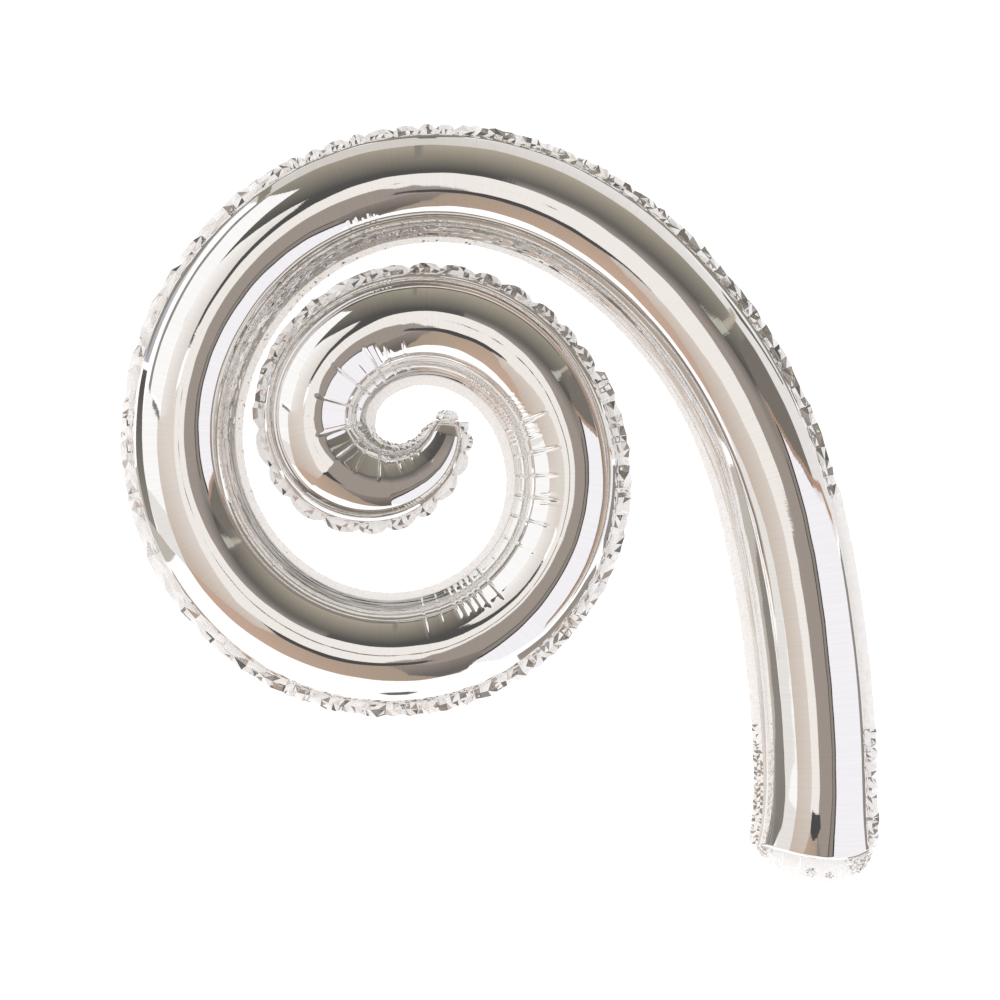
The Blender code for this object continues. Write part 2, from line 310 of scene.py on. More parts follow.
def thin_strip(
    name: str,
    sheet: tuple[np.ndarray, np.ndarray, np.ndarray],
    crinkle: np.ndarray,
    matt_share: np.ndarray,
    half_thickness: float,
    random: np.random.Generator,
) -> bpy.types.Mesh:
    """Make a thin closed strip from its middle sheet.

    Args:
        name: name of the mesh.
        sheet: distance, across and height of the middle sheet, rows by columns.
        crinkle: how far each point may be thrown.
        matt_share: share of the facets in each row that are matt; matt facets scattered among mirror ones paint a white
            reflection.
        half_thickness: half the strip's thickness; negative where across falls from column to column.
        random: where the choice of matt facets comes from.

    Returns:
        The blank's mesh.
    """
    distance, across, height = sheet
    pair = np.arange(distance.size).reshape(distance.shape)
    doubled = [np.concatenate((part, part[:, ::-1]), axis=1) for part in (distance, across, crinkle, pair)]
    thick = np.concatenate((height - half_thickness, (height + half_thickness)[:, ::-1]), axis=1)
    shape = (distance.shape[0] - 1, distance.shape[1] * 4)
    # Matt facets drawn at random are painted reflection: white facets in place of crinkled ones that would catch the
    # white room.
    is_matt = random.uniform(0.0, 1.0, shape) < matt_share[:-1, None]
    facets = np.where(is_matt, random.uniform(0.88, 1.0, shape), random.uniform(0.0, 0.1, shape))
    return Blank(doubled[0], doubled[1], thick, None, doubled[2], doubled[3], facets).mesh(name)


def write_film_map(mesh: bpy.types.Mesh, along: np.ndarray, around: np.ndarray) -> None:
    """Write the film coordinates of each point, in metres, as the UV map that the materials read.

    Args:
        mesh: the mesh that gets the map.
        along: millimetres along the film for each point.
        around: millimetres across the film for each point.
    """
    film = np.stack((along.ravel(), around.ravel()), axis=1) * MM
    loops = np.zeros(len(mesh.loops), np.int32)
    mesh.loops.foreach_get("vertex_index", loops)
    layer = mesh.uv_layers.new(name="film")
    layer.data.foreach_set("uv", film[loops].astype(np.float32).ravel())


@dataclass
class CurlWrap:
    """The Geometry Nodes tree that wraps a blank of film on the curl and puts its creases in."""

    curl: Curl
    tree: bpy.types.NodeTree = field(init=False)
    path: bpy.types.Object = field(init=False)

    def __post_init__(self) -> None:
        """Make the path and the tree."""
        self.path = self.curl.make_curve()
        self.tree = self.build_tree()

    def build_tree(self) -> bpy.types.NodeTree:
        """Build the tree: crease the flat blank, then read the path and put each point beside it."""
        tree = bpy.data.node_groups.new("wrap film on the curl", "GeometryNodeTree")
        sockets = (
            ("Blank", "NodeSocketGeometry"),
            ("Path", "NodeSocketObject"),
            ("Path Lead", "NodeSocketFloat"),
            ("Side", "NodeSocketFloat"),
            ("Pucker Depth", "NodeSocketFloat"),
            ("Ripple Height", "NodeSocketFloat"),
            ("Ripple Length", "NodeSocketFloat"),
            ("Crinkle Size", "NodeSocketFloat"),
            ("Seed", "NodeSocketInt"),
            ("Smooth", "NodeSocketBool"),
            ("Film", "NodeSocketMaterial"),
        )
        for label, kind in sockets:
            tree.interface.new_socket(name=label, in_out="INPUT", socket_type=kind)
        tree.interface.new_socket(name="Wrapped", in_out="OUTPUT", socket_type="NodeSocketGeometry")
        given = add_node(tree, "NodeGroupInput").outputs
        position = add_node(tree, "GeometryNodeInputPosition").outputs[0]
        normal = add_node(tree, "GeometryNodeInputNormal").outputs[0]
        pucker = add_node(
            tree, "GeometryNodeInputNamedAttribute", {"data_type": "FLOAT"}, {"Name": "pucker"}
        ).outputs["Attribute"]
        crinkle = add_node(
            tree, "GeometryNodeInputNamedAttribute", {"data_type": "FLOAT"}, {"Name": "crinkle"}
        ).outputs["Attribute"]
        pinch = add_node(tree, "ShaderNodeMath", {"operation": "MULTIPLY"}, {0: pucker, 1: given["Pucker Depth"]})
        frequency = add_node(tree, "ShaderNodeMath", {"operation": "DIVIDE"}, {0: 1.0, 1: given["Ripple Length"]})
        noise = add_node(
            tree,
            "ShaderNodeTexNoise",
            {"noise_dimensions": "4D"},
            {"Vector": position, "W": given["Seed"], "Scale": frequency.outputs[0], "Detail": 2.0},
        )
        centred = add_node(
            tree, "ShaderNodeMath", {"operation": "SUBTRACT"}, {0: noise.outputs[0], 1: 0.5}
        )
        ripple = add_node(
            tree, "ShaderNodeMath", {"operation": "MULTIPLY"}, {0: centred.outputs[0], 1: given["Ripple Height"]}
        )
        lift = add_node(tree, "ShaderNodeMath", {"operation": "SUBTRACT"}, {0: ripple.outputs[0], 1: pinch.outputs[0]})
        along_normal = add_node(
            tree, "ShaderNodeVectorMath", {"operation": "SCALE"}, {0: normal, "Scale": lift.outputs[0]}
        )
        pair = add_node(
            tree, "GeometryNodeInputNamedAttribute", {"data_type": "INT"}, {"Name": "pair"}
        ).outputs["Attribute"]
        chance = add_node(
            tree,
            "FunctionNodeRandomValue",
            {"data_type": "FLOAT_VECTOR"},
            {0: (-1.0, -1.0, -1.0), 1: (1.0, 1.0, 1.0), "ID": pair, "Seed": given["Seed"]},
        )
        amount = add_node(
            tree, "ShaderNodeMath", {"operation": "MULTIPLY"}, {0: crinkle, 1: given["Crinkle Size"]}
        )
        jog = add_node(
            tree, "ShaderNodeVectorMath", {"operation": "SCALE"}, {0: chance.outputs[0], "Scale": amount.outputs[0]}
        )
        moved = add_node(tree, "ShaderNodeVectorMath", {"operation": "ADD"}, {0: position, 1: along_normal.outputs[0]})
        moved = add_node(tree, "ShaderNodeVectorMath", {"operation": "ADD"}, {0: moved.outputs[0], 1: jog.outputs[0]})
        apart = add_node(tree, "ShaderNodeSeparateXYZ", None, {0: moved.outputs[0]}).outputs
        reach = add_node(tree, "ShaderNodeMath", {"operation": "ADD"}, {0: apart[0], 1: given["Path Lead"]})
        object_info = add_node(tree, "GeometryNodeObjectInfo", None, {"Object": given["Path"]})
        sample = add_node(
            tree,
            "GeometryNodeSampleCurve",
            {"mode": "LENGTH", "use_all_curves": True},
            {"Curves": object_info.outputs["Geometry"], "Length": reach.outputs[0]},
        )
        outwards = add_node(
            tree,
            "ShaderNodeVectorMath",
            {"operation": "CROSS_PRODUCT"},
            {0: (0.0, 1.0, 0.0), 1: sample.outputs["Tangent"]},
        )
        beside = add_node(
            tree, "ShaderNodeVectorMath", {"operation": "SCALE"}, {0: outwards.outputs[0], "Scale": apart[1]}
        )
        rise = add_node(tree, "ShaderNodeMath", {"operation": "MULTIPLY"}, {0: apart[2], 1: given["Side"]})
        off_plane = add_node(tree, "ShaderNodeCombineXYZ", None, {1: rise.outputs[0]})
        placed = add_node(
            tree, "ShaderNodeVectorMath", {"operation": "ADD"}, {0: sample.outputs["Position"], 1: beside.outputs[0]}
        )
        placed = add_node(
            tree, "ShaderNodeVectorMath", {"operation": "ADD"}, {0: placed.outputs[0], 1: off_plane.outputs[0]}
        )
        capture = add_node(
            tree, "GeometryNodeSetPosition", None, {"Geometry": given["Blank"], "Position": placed.outputs[0]}
        )
        shade = add_node(
            tree,
            "GeometryNodeSetShadeSmooth",
            None,
            {"Geometry": capture.outputs[0], "Shade Smooth": given["Smooth"]},
        )
        real = add_node(tree, "GeometryNodeRealizeInstances", None, {"Geometry": shade.outputs[0]})
        dressed = add_node(
            tree, "GeometryNodeSetMaterial", None, {"Geometry": real.outputs[0], "Material": given["Film"]}
        )
        add_node(tree, "NodeGroupOutput", None, {"Wrapped": dressed.outputs[0]})
        return tree

    def wrap(
        self,
        name: str,
        blank: bpy.types.Mesh,
        side: Side,
        film: bpy.types.Material,
        **values: float | bool,
    ) -> bpy.types.Object:
        """Wrap a blank on the curl and turn the result into a plain mesh.

        Args:
            name: name of the piece.
            blank: the flat film in millimetre film coordinates, as a mesh in metres.
            side: the side of the curl's plane that positive heights lie on.
            film: the piece's material.
            values: other inputs of the tree, by name with underscores.

        Returns:
            The finished piece, at the origin.
        """
        piece = bpy.data.objects.new(name, blank)
        bpy.context.scene.collection.objects.link(piece)
        modifier = piece.modifiers.new("wrap", "NODES")
        modifier.node_group = self.tree
        inputs = {
            "Path": self.path,
            "Path Lead": self.curl.lead * MM,
            "Side": side.value,
            "Pucker Depth": 1.0,
            "Ripple Height": 0.0,
            "Ripple Length": 30.0 * MM,
            "Crinkle Size": 1.0,
            "Seed": 1,
            "Smooth": True,
            "Film": film,
        }
        inputs.update({key.replace("_", " ").title(): value for key, value in values.items()})
        for item in self.tree.interface.items_tree:
            if item.in_out == "INPUT" and item.name in inputs:
                modifier[item.identifier] = inputs[item.name]
        bpy.context.view_layer.update()
        result = bpy.data.meshes.new_from_object(piece.evaluated_get(bpy.context.evaluated_depsgraph_get()))
        piece.modifiers.remove(modifier)
        piece.data = result
        bpy.data.meshes.remove(blank)
        result.name = name
        if side is Side.FRONT:
            result.flip_normals()
        return piece

    def finish(self) -> None:
        """Remove the path and the tree once every piece is a plain mesh."""
        data = self.path.data
        bpy.data.objects.remove(self.path)
        bpy.data.curves.remove(data)
        bpy.data.node_groups.remove(self.tree)


@dataclass(frozen=True)
class MetallisedFilm:
    """Polyester film with a vapour coat of aluminium, blown tight: a mirror with faint cross streaks."""

    name: str = "metallised polyester film"
    colour: str = "#F8F7F6"
    shade: str = "#F0EEEC"
    roughness: float = 0.035
    streak_width: float = 1.1
    streak_length: float = 34.0
    streak_height: float = 0.004
    slack_metal: float = 0.12
    slack_roughness: float = 0.3
    line_width: float = 0.55
    line_length: float = 45.0
    line_range: tuple[float, float] = (0.42, 0.56)

    def material(self) -> bpy.types.Material:
        """Make the mirror material. The streaks run across the tube, as the tight film draws them."""
        made = bpy.data.materials.new(self.name)
        made.use_nodes = True
        tree = made.node_tree
        shader = tree.nodes["Principled BSDF"]
        film = add_node(tree, "ShaderNodeUVMap", {"uv_map": "film"}).outputs[0]
        drawn = add_node(
            tree,
            "ShaderNodeMapping",
            None,
            {0: film, "Scale": (1.0 / (self.line_length * MM), 1.0 / (self.line_width * MM), 1.0)},
        )
        lines = add_node(
            tree, "ShaderNodeTexNoise", {"noise_dimensions": "2D"}, {0: drawn.outputs[0], "Scale": 1.0, "Detail": 1.0}
        )
        lined = add_node(
            tree, "ShaderNodeMapRange", None, {0: lines.outputs[0], 1: self.line_range[0], 2: self.line_range[1]}
        )
        loose = add_node(tree, "ShaderNodeAttribute", {"attribute_name": "slack"}).outputs["Fac"]
        slack = add_node(
            tree, "ShaderNodeMath", {"operation": "MULTIPLY"}, {0: loose, 1: lined.outputs[0]}
        ).outputs[0]
        metal = add_node(tree, "ShaderNodeMapRange", None, {0: slack, 3: 1.0, 4: self.slack_metal})
        stretched = add_node(
            tree,
            "ShaderNodeMapping",
            None,
            {0: film, "Scale": (1.0 / (self.streak_width * MM), 1.0 / (self.streak_length * MM), 1.0)},
        )
        streaks = add_node(
            tree, "ShaderNodeTexNoise", {"noise_dimensions": "2D"}, {0: stretched.outputs[0], "Scale": 1.0, "Detail": 3.0}
        )
        bump = add_node(
            tree,
            "ShaderNodeBump",
            None,
            {"Strength": 1.0, "Distance": self.streak_height * MM, "Height": streaks.outputs[0]},
        )
        haze = add_node(
            tree,
            "ShaderNodeMapRange",
            None,
            {0: streaks.outputs[0], 1: 0.3, 2: 0.8, 3: self.roughness, 4: self.roughness * 1.8},
        )
        tone = add_node(
            tree,
            "ShaderNodeMix",
            {"data_type": "RGBA"},
            {"Factor": streaks.outputs[0], 6: (*linear(self.colour), 1.0), 7: (*linear(self.shade), 1.0)},
        )
        dull = add_node(tree, "ShaderNodeMapRange", None, {0: slack, 3: haze.outputs[0], 4: self.slack_roughness})
        tree.links.new(tone.outputs[2], shader.inputs["Base Color"])
        tree.links.new(metal.outputs[0], shader.inputs["Metallic"])
        tree.links.new(dull.outputs[0], shader.inputs["Roughness"])
        tree.links.new(bump.outputs[0], shader.inputs["Normal"])
        return made


@dataclass(frozen=True)
class SealedFilm:
    """Two films pressed together by a hot jaw: white and grained where matt, a mirror on its creased facets. Matt white
    facets scattered among the mirror ones are painted reflection, standing in for creased facets that catch the white
    room.
    """

    name: str
    colour: str
    shade: str
    grain: float = 0.9
    grain_height: float = 0.03
    mirror_roughness: float = 0.07
    matt_roughness: float = 0.42
    matt_metal: float = 0.0
    rib_width: float = 0.0
    rib_height: float = 0.0

    def material(self) -> bpy.types.Material:
        """Make the sealed film's material: each facet's matt number turns the mirror into grained white. This is the
        seal's own matt finish where a stretch is wholly matt, and a painted white reflection where matt facets are
        scattered at random.
        """
        made = bpy.data.materials.new(self.name)
        made.use_nodes = True
        tree = made.node_tree
        shader = tree.nodes["Principled BSDF"]
        place = add_node(tree, "ShaderNodeTexCoord").outputs["Object"]
        matt = add_node(tree, "ShaderNodeAttribute", {"attribute_name": "matt"}).outputs["Fac"]
        grain = add_node(
            tree, "ShaderNodeTexNoise", None, {"Vector": place, "Scale": 1.0 / (self.grain * MM), "Detail": 3.0}
        ).outputs[0]
        height = grain
        if self.rib_width:
            film = add_node(tree, "ShaderNodeUVMap", {"uv_map": "film"}).outputs[0]
            ribs = add_node(
                tree,
                "ShaderNodeTexWave",
                {"bands_direction": "Y"},
                {"Vector": film, "Scale": 0.05 / (self.rib_width * MM), "Distortion": 1.5, "Detail Scale": 2.0},
            ).outputs[1]
            height = add_node(
                tree,
                "ShaderNodeMath",
                {"operation": "MULTIPLY_ADD"},
                {0: ribs, 1: self.rib_height / self.grain_height, 2: grain},
            ).outputs[0]
        bump = add_node(
            tree, "ShaderNodeBump", {}, {"Strength": 1.0, "Distance": self.grain_height * MM, "Height": height}
        )
        metal = add_node(tree, "ShaderNodeMapRange", None, {0: matt, 3: 1.0, 4: self.matt_metal})
        dull = add_node(tree, "ShaderNodeMapRange", None, {0: matt, 3: self.mirror_roughness, 4: self.matt_roughness})
        tone = add_node(
            tree,
            "ShaderNodeMix",
            {"data_type": "RGBA"},
            {"Factor": grain, 6: (*linear(self.colour), 1.0), 7: (*linear(self.shade), 1.0)},
        )
        tree.links.new(tone.outputs[2], shader.inputs["Base Color"])
        tree.links.new(metal.outputs[0], shader.inputs["Metallic"])
        tree.links.new(dull.outputs[0], shader.inputs["Roughness"])
        tree.links.new(bump.outputs[0], shader.inputs["Normal"])
        return made


@dataclass
class FilmShell:
    """One half of the inflated tube: a mirror-bright sheet with puckers on the inside of the curl."""

    side: Side
    name: str
    slot: str
    section: TubeSection
    finish: MetallisedFilm
    start: float = 3.2
    end: float = 1156.0
    rim: float = 0.25
    outer_columns: int = 22
    inner_columns: int = 24
    pillow_columns: int = 13
    skirt_columns: int = 13
    pillow_swell: float = 0.55
    skirt_share: float = 0.87
    coarse_step: float = 2.2
    fine_zones: tuple[tuple[float, float, float], ...] = (
        (3.2, 8.0, 0.3), (8.0, 34.0, 0.9), (412.0, 458.0, 0.75), (760.0, 1156.0, 0.42),
    )
    boxes: tuple[tuple[float, float, float, float, float], ...] = (
        (783.0, 914.0, -8.4, -15.2, 0.55), (1010.0, 1071.0, -4.2, -14.6, 1.0), (1071.0, 1112.0, -3.6, -14.0, 0.85),
        (1112.0, 1140.0, -3.0, -11.0, 0.4),
    )
    creases: tuple[Crease, ...] = (
        Crease(438.0, -10.0, 0.25), Crease(441.0, -8.5, 0.3), Crease(444.0, -11.0, 0.2), Crease(447.5, -9.0, 0.25),
        Crease(449.5, -12.0, 0.2), Crease(452.0, -10.0, 0.25), Crease(767.0, -5.5, 0.5), Crease(776.0, -10.0, 0.3),
        Crease(785.5, -9.0, 0.6), Crease(789.5, -8.0, 0.6), Crease(794.0, -8.0, 0.6), Crease(798.0, -8.0, 0.6),
        Crease(802.0, -6.5, 0.6), Crease(809.5, -5.0, 0.7), Crease(822.0, -9.0, 0.2), Crease(837.0, -6.5, 0.5),
        Crease(852.0, -5.5, 0.8), Crease(865.5, -3.5, 1.0), Crease(878.0, -4.5, 1.0), Crease(891.5, -2.5, 1.1),
        Crease(900.0, -9.0, 0.6), Crease(903.0, -10.0, 0.4), Crease(906.0, -10.0, 0.4), Crease(909.5, -3.5, 1.0),
        Crease(912.4, -11.0, 0.25), Crease(915.0, -11.5, 0.25), Crease(917.6, -10.5, 0.25), Crease(920.2, -11.0, 0.25),
        Crease(922.8, -12.0, 0.25), Crease(926.0, -11.0, 0.25), Crease(997.0, -7.5, 0.3), Crease(1007.0, -7.0, 0.35),
        Crease(1017.0, -3.5, 1.0), Crease(1025.0, -7.0, 0.3), Crease(1034.0, -1.5, 1.2), Crease(1050.5, -0.5, 1.2),
        Crease(1069.5, -1.5, 1.2), Crease(1084.0, -3.5, 1.1, lean=3.0), Crease(1096.0, -3.0, 1.1),
        Crease(1108.5, -1.5, 1.0), Crease(1113.0, -7.0, 0.4), Crease(1120.5, -3.5, 1.0), Crease(1124.0, -6.0, 0.5),
        Crease(1128.5, -5.0, 0.7), Crease(1133.0, -5.5, 0.7), Crease(1137.0, -7.0, 0.5),
    )
    crumples: tuple[tuple[float, float, float], ...] = (
        (150.0, 320.0, 0.05), (310.0, 460.0, 0.16), (455.0, 600.0, 0.26), (595.0, 760.0, 0.07), (912.0, 960.0, 0.14),
    )
    slack: tuple[tuple[float, float], ...] = (
        (0, 0.3), (160, 0.4), (220, 0.62), (300, 0.62), (380, 0.4), (450, 0.15), (575, 0.15), (620, 0.5), (980, 0.55),
        (1085, 0.35), (1120, 0.2), (1156, 0.1),
    )

    def rows(self) -> np.ndarray:
        """Distances of the rows, close together where the film is creased."""
        places = [self.start]
        while places[-1] < self.end:
            step = self.coarse_step
            for low, high, fine in self.fine_zones:
                if low <= places[-1] < high:
                    step = fine
            places.append(places[-1] + step)
        places[-1] = self.end
        return np.array(places)

    def lay_out(self) -> tuple[np.ndarray, np.ndarray, np.ndarray]:
        """Distance, across and height of every point of the smooth half tube.

        The section is a quarter ellipse on the outside of its crest and a longer one on the inside, which
        ends at the fold line. A small pillow and the skirt follow, down to the inner seam.

        Returns:
            Three arrays of rows by columns, in millimetres.
        """
        rows = self.rows()
        section = self.section
        width = section.width(rows)[:, None]
        scale = width / section.half_width
        top = section.depth(rows)[:, None]
        skirt = section.skirt(rows)[:, None]
        crest = np.interp(rows, *zip(*section.crest))[:, None] * scale
        outer = np.radians(np.linspace(0.0, 90.0, self.outer_columns, endpoint=False))[None, :]
        turn = np.arcsin(np.clip((crest + section.fold * scale) / (section.inner_reach * scale), 0.0, 0.95))
        inner = turn * np.linspace(0.0, 1.0, self.inner_columns)[None, :]
        across = [crest + (width - crest) * np.cos(outer), crest - section.inner_reach * scale * np.sin(inner)]
        power = np.interp(rows, *zip(*section.roundness))[:, None]
        height = [top * np.sin(outer) ** power, top * np.cos(inner) ** power]
        height[1] = self.flatten(rows, across[1], height[1], scale)
        edge, ridge = across[1][:, -1:], height[1][:, -1:]
        foot = -(width - self.skirt_share * skirt)
        foot_height = np.minimum(0.5 * skirt, 0.25 * ridge)
        step = np.linspace(0.0, 1.0, self.pillow_columns + 1)[None, 1:]
        run, fall = foot - edge, foot_height - ridge
        length = np.maximum(np.hypot(run, fall), 1e-6)
        swell = self.pillow_swell * np.minimum(1.0, ridge / 8.0) * np.sin(math.pi * step)
        across.append(edge + run * step + swell * fall / length)
        height.append(ridge + fall * step - swell * run / length)
        step = np.linspace(0.0, 1.0, self.skirt_columns + 1)[None, 1:]
        across.append(foot + (-width - foot) * step)
        height.append(foot_height * (0.45 * (1.0 - step) + 0.55 * (1.0 - step) ** 3))
        across, height = np.concatenate(across, axis=1), np.concatenate(height, axis=1)
        distance = np.broadcast_to(rows[:, None], across.shape)
        return distance, across, np.maximum(height, 0.0) + self.rim

    def flatten(self, rows: np.ndarray, across: np.ndarray, height: np.ndarray, scale: np.ndarray) -> np.ndarray:
        """Draw the film flat between its puckers, where a box runs from its top line to its foot line.

        Args:
            rows: distance of each row.
            across: places of the inner arc, rows by columns, falling.
            height: its heights.
            scale: width of each row over the full width.

        Returns:
            The heights with the boxes drawn flat.
        """
        flat = height.copy()
        for start, end, top, foot, share in self.boxes:
            span = smooth_step(start, start + 2.5, rows) * (1.0 - smooth_step(end - 2.5, end, rows))
            for i in np.nonzero(span > 0.0)[0]:
                high, low = top * scale[i, 0], foot * scale[i, 0]
                ends = np.interp((-high, -low), -across[i], height[i])
                chord = ends[0] + (ends[1] - ends[0]) * (high - across[i]) / (high - low)
                inside = (across[i] < high) & (across[i] > low)
                flat[i] = np.where(inside, flat[i] + (chord - height[i]) * share * span[i], flat[i])
        return flat

    def pucker(self, distance: np.ndarray, across: np.ndarray) -> np.ndarray:
        """How far the film is pulled in at each point by its creases."""
        total = np.zeros_like(distance)
        for crease in self.creases:
            offset = distance - crease.place - crease.lean * np.clip((crease.reach - across) / 16.0, 0.0, 1.0)
            window = smooth_step(-1.5, 3.0, crease.reach - across)
            fade = 1.0 - 0.65 * smooth_step(-20.0, -24.0, across)
            groove = np.exp(-np.abs(offset / crease.half_width) ** 1.5)
            shoulder = np.exp(-((offset / (2.6 * crease.half_width)) ** 2))
            total += 0.75 * crease.depth * window * fade * (groove - 0.22 * shoulder)
        return total

    def crinkle(self, distance: np.ndarray, across: np.ndarray) -> np.ndarray:
        """How far each point of the skirt may be thrown by the crumples."""
        row = smooth_step(-17.6, -19.0, across) * (1.0 - smooth_step(-23.2, -24.0, across))
        total = np.zeros_like(distance)
        for low, high, size in self.crumples:
            total += size * smooth_step(low, low + 12.0, distance) * (1.0 - smooth_step(high - 12.0, high, distance))
        return total * row

    def build(self, wrap: CurlWrap) -> bpy.types.Object:
        """Make the shell on the curl and dress it."""
        distance, across, height = self.lay_out()
        pucker = self.pucker(distance, across)
        crinkle = self.crinkle(distance, across)
        bent = self.section.follow_seam(distance, across)
        scale = self.section.width(distance) / self.section.half_width
        slack = np.interp(distance, *zip(*self.slack)) * smooth_step(-18.6, -20.0, across / scale)
        blank = Blank(bent, across, height, pucker, crinkle, slack=slack).mesh(self.name)
        return wrap.wrap(
            self.name, blank, self.side, self.finish.material(), ripple_height=0.35 * MM, ripple_length=26.0 * MM, seed=3
        )


class Pleat(Enum):
    """How the free film beyond a seal is creased."""

    SMOOTH = "smooth"
    TRIANGLES = "triangles"
    CRINKLED = "crinkled"
    PETALS = "petals"


@dataclass(frozen=True)
class FinZone:
    """A stretch of a seal: how it is creased, and how wide, rough and matt it is; its matt share sets how many facets
    show a painted white reflection.
    """

    start: float
    pleat: Pleat
    width: float
    fold: float
    rise: float
    jog: float
    matt: float


@dataclass
class OuterSeal:
    """Crinkled fin along the outside of the curl, from the tail to the tip."""

    section: TubeSection
    finish: SealedFilm
    name: str = "outer_fin"
    start: float = 8.6
    end: float = 1156.0
    ramp: float = 4.0
    tuck: float = 1.8
    half_thickness: float = 0.12
    shares: tuple[float, ...] = (0.0, 0.27, 0.62, 1.0)
    ragged: float = 0.45
    seed: int = 11
    zones: tuple[FinZone, ...] = (
        FinZone(8.0, Pleat.CRINKLED, 5.0, 4.2, 0.6, 0.45, 0.62),
        FinZone(62.0, Pleat.SMOOTH, 4.9, 6.0, 0.12, 0.05, 1.0),
        FinZone(165.0, Pleat.TRIANGLES, 4.4, 9.4, 1.3, 0.5, 0.34),
        FinZone(300.0, Pleat.CRINKLED, 4.4, 5.4, 0.9, 0.5, 0.4),
        FinZone(395.0, Pleat.PETALS, 4.4, 9.0, 0.9, 0.2, 0.68),
        FinZone(462.0, Pleat.TRIANGLES, 4.9, 8.0, 1.1, 0.5, 0.62),
        FinZone(570.0, Pleat.CRINKLED, 5.0, 5.4, 0.8, 0.45, 0.68),
        FinZone(622.0, Pleat.TRIANGLES, 5.4, 11.0, 1.2, 0.4, 0.78),
        FinZone(685.0, Pleat.CRINKLED, 5.9, 4.6, 0.95, 0.5, 0.45),
        FinZone(914.0, Pleat.PETALS, 4.7, 11.0, 1.3, 0.2, 0.42),
        FinZone(1000.0, Pleat.CRINKLED, 4.7, 4.4, 0.85, 0.45, 0.52),
        FinZone(1060.0, Pleat.PETALS, 5.0, 8.6, 1.2, 0.2, 0.8),
    )

    def zone(self, place: float) -> FinZone:
        """The stretch that holds a distance along the tube."""
        return [zone for zone in self.zones if zone.start <= place + 1e-6][-1]

    def rows(self, random: np.random.Generator) -> tuple[np.ndarray, np.ndarray]:
        """Distances of the rows, and each row's place in its fold, whole numbers being the folds' ends."""
        places, folds = [self.start], [0.0]
        while places[-1] < self.end:
            zone = self.zone(places[-1])
            length = zone.fold * random.uniform(0.7, 1.3)
            count = 6 if zone.pleat is Pleat.PETALS else 2
            first, base = places[-1], folds[-1]
            for i in range(count):
                places.append(first + length * (i + 1) / count)
                folds.append(base + (i + 1) / count)
        return np.clip(np.array(places), self.start, self.end), np.array(folds)

    def lay_out(
        self, random: np.random.Generator
    ) -> tuple[tuple[np.ndarray, np.ndarray, np.ndarray], np.ndarray, np.ndarray]:
        """The fin's middle sheet (distance, across, height), its crinkle sizes and its share of matt facets."""
        rows, folds = self.rows(random)
        share = np.array(self.shares)
        inner = self.section.width(rows) - self.tuck
        shape = (len(rows), len(share))
        across, height, crinkle = (np.zeros(shape) for _ in range(3))
        matt_share = np.array([self.zone(place).matt for place in rows])
        for i, place in enumerate(rows):
            zone = self.zone(place)
            within = folds[i] % 1.0
            arch = math.sin(math.pi * within)
            width = zone.width + random.uniform(-1.0, 1.0) * self.ragged
            if zone.pleat is Pleat.PETALS:
                width = zone.width * (0.5 + 0.5 * arch**0.6)
            elif zone.pleat is Pleat.SMOOTH:
                width = zone.width
            width *= min(1.0, 0.2 + (place - self.start) / self.ramp)
            out = np.clip((share * (width + self.tuck) - self.tuck) / width, 0.0, 1.0)
            if zone.pleat is Pleat.PETALS:
                height[i] = zone.rise * (arch * np.sin(math.pi * np.minimum(out / 1.1, 1.0)) - 0.3 * (1.0 - arch) * out)
            elif zone.pleat is Pleat.TRIANGLES:
                height[i] = zone.rise * random.uniform(0.5, 1.0) * (1.0 if within > 0.25 else -1.0) * out
            else:
                height[i] = zone.rise * random.uniform(-1.0, 1.0, len(share)) * np.minimum(out * 2.5, 1.0)
            across[i] = inner[i] + share * (width + self.tuck)
            crinkle[i] = zone.jog * np.minimum(out * 2.0, 1.0)
        distance = np.repeat(rows[:, None], len(share), axis=1)
        return (distance, across, height), crinkle, matt_share

    def build(self, wrap: CurlWrap) -> bpy.types.Object:
        """Make the fin as a thin closed strip on the curl and dress it."""
        random = np.random.default_rng(self.seed)
        sheet, crinkle, matt_share = self.lay_out(random)
        blank = thin_strip(self.name, sheet, crinkle, matt_share, self.half_thickness, random)
        return wrap.wrap(self.name, blank, Side.BACK, self.finish.material(), seed=self.seed, smooth=False)


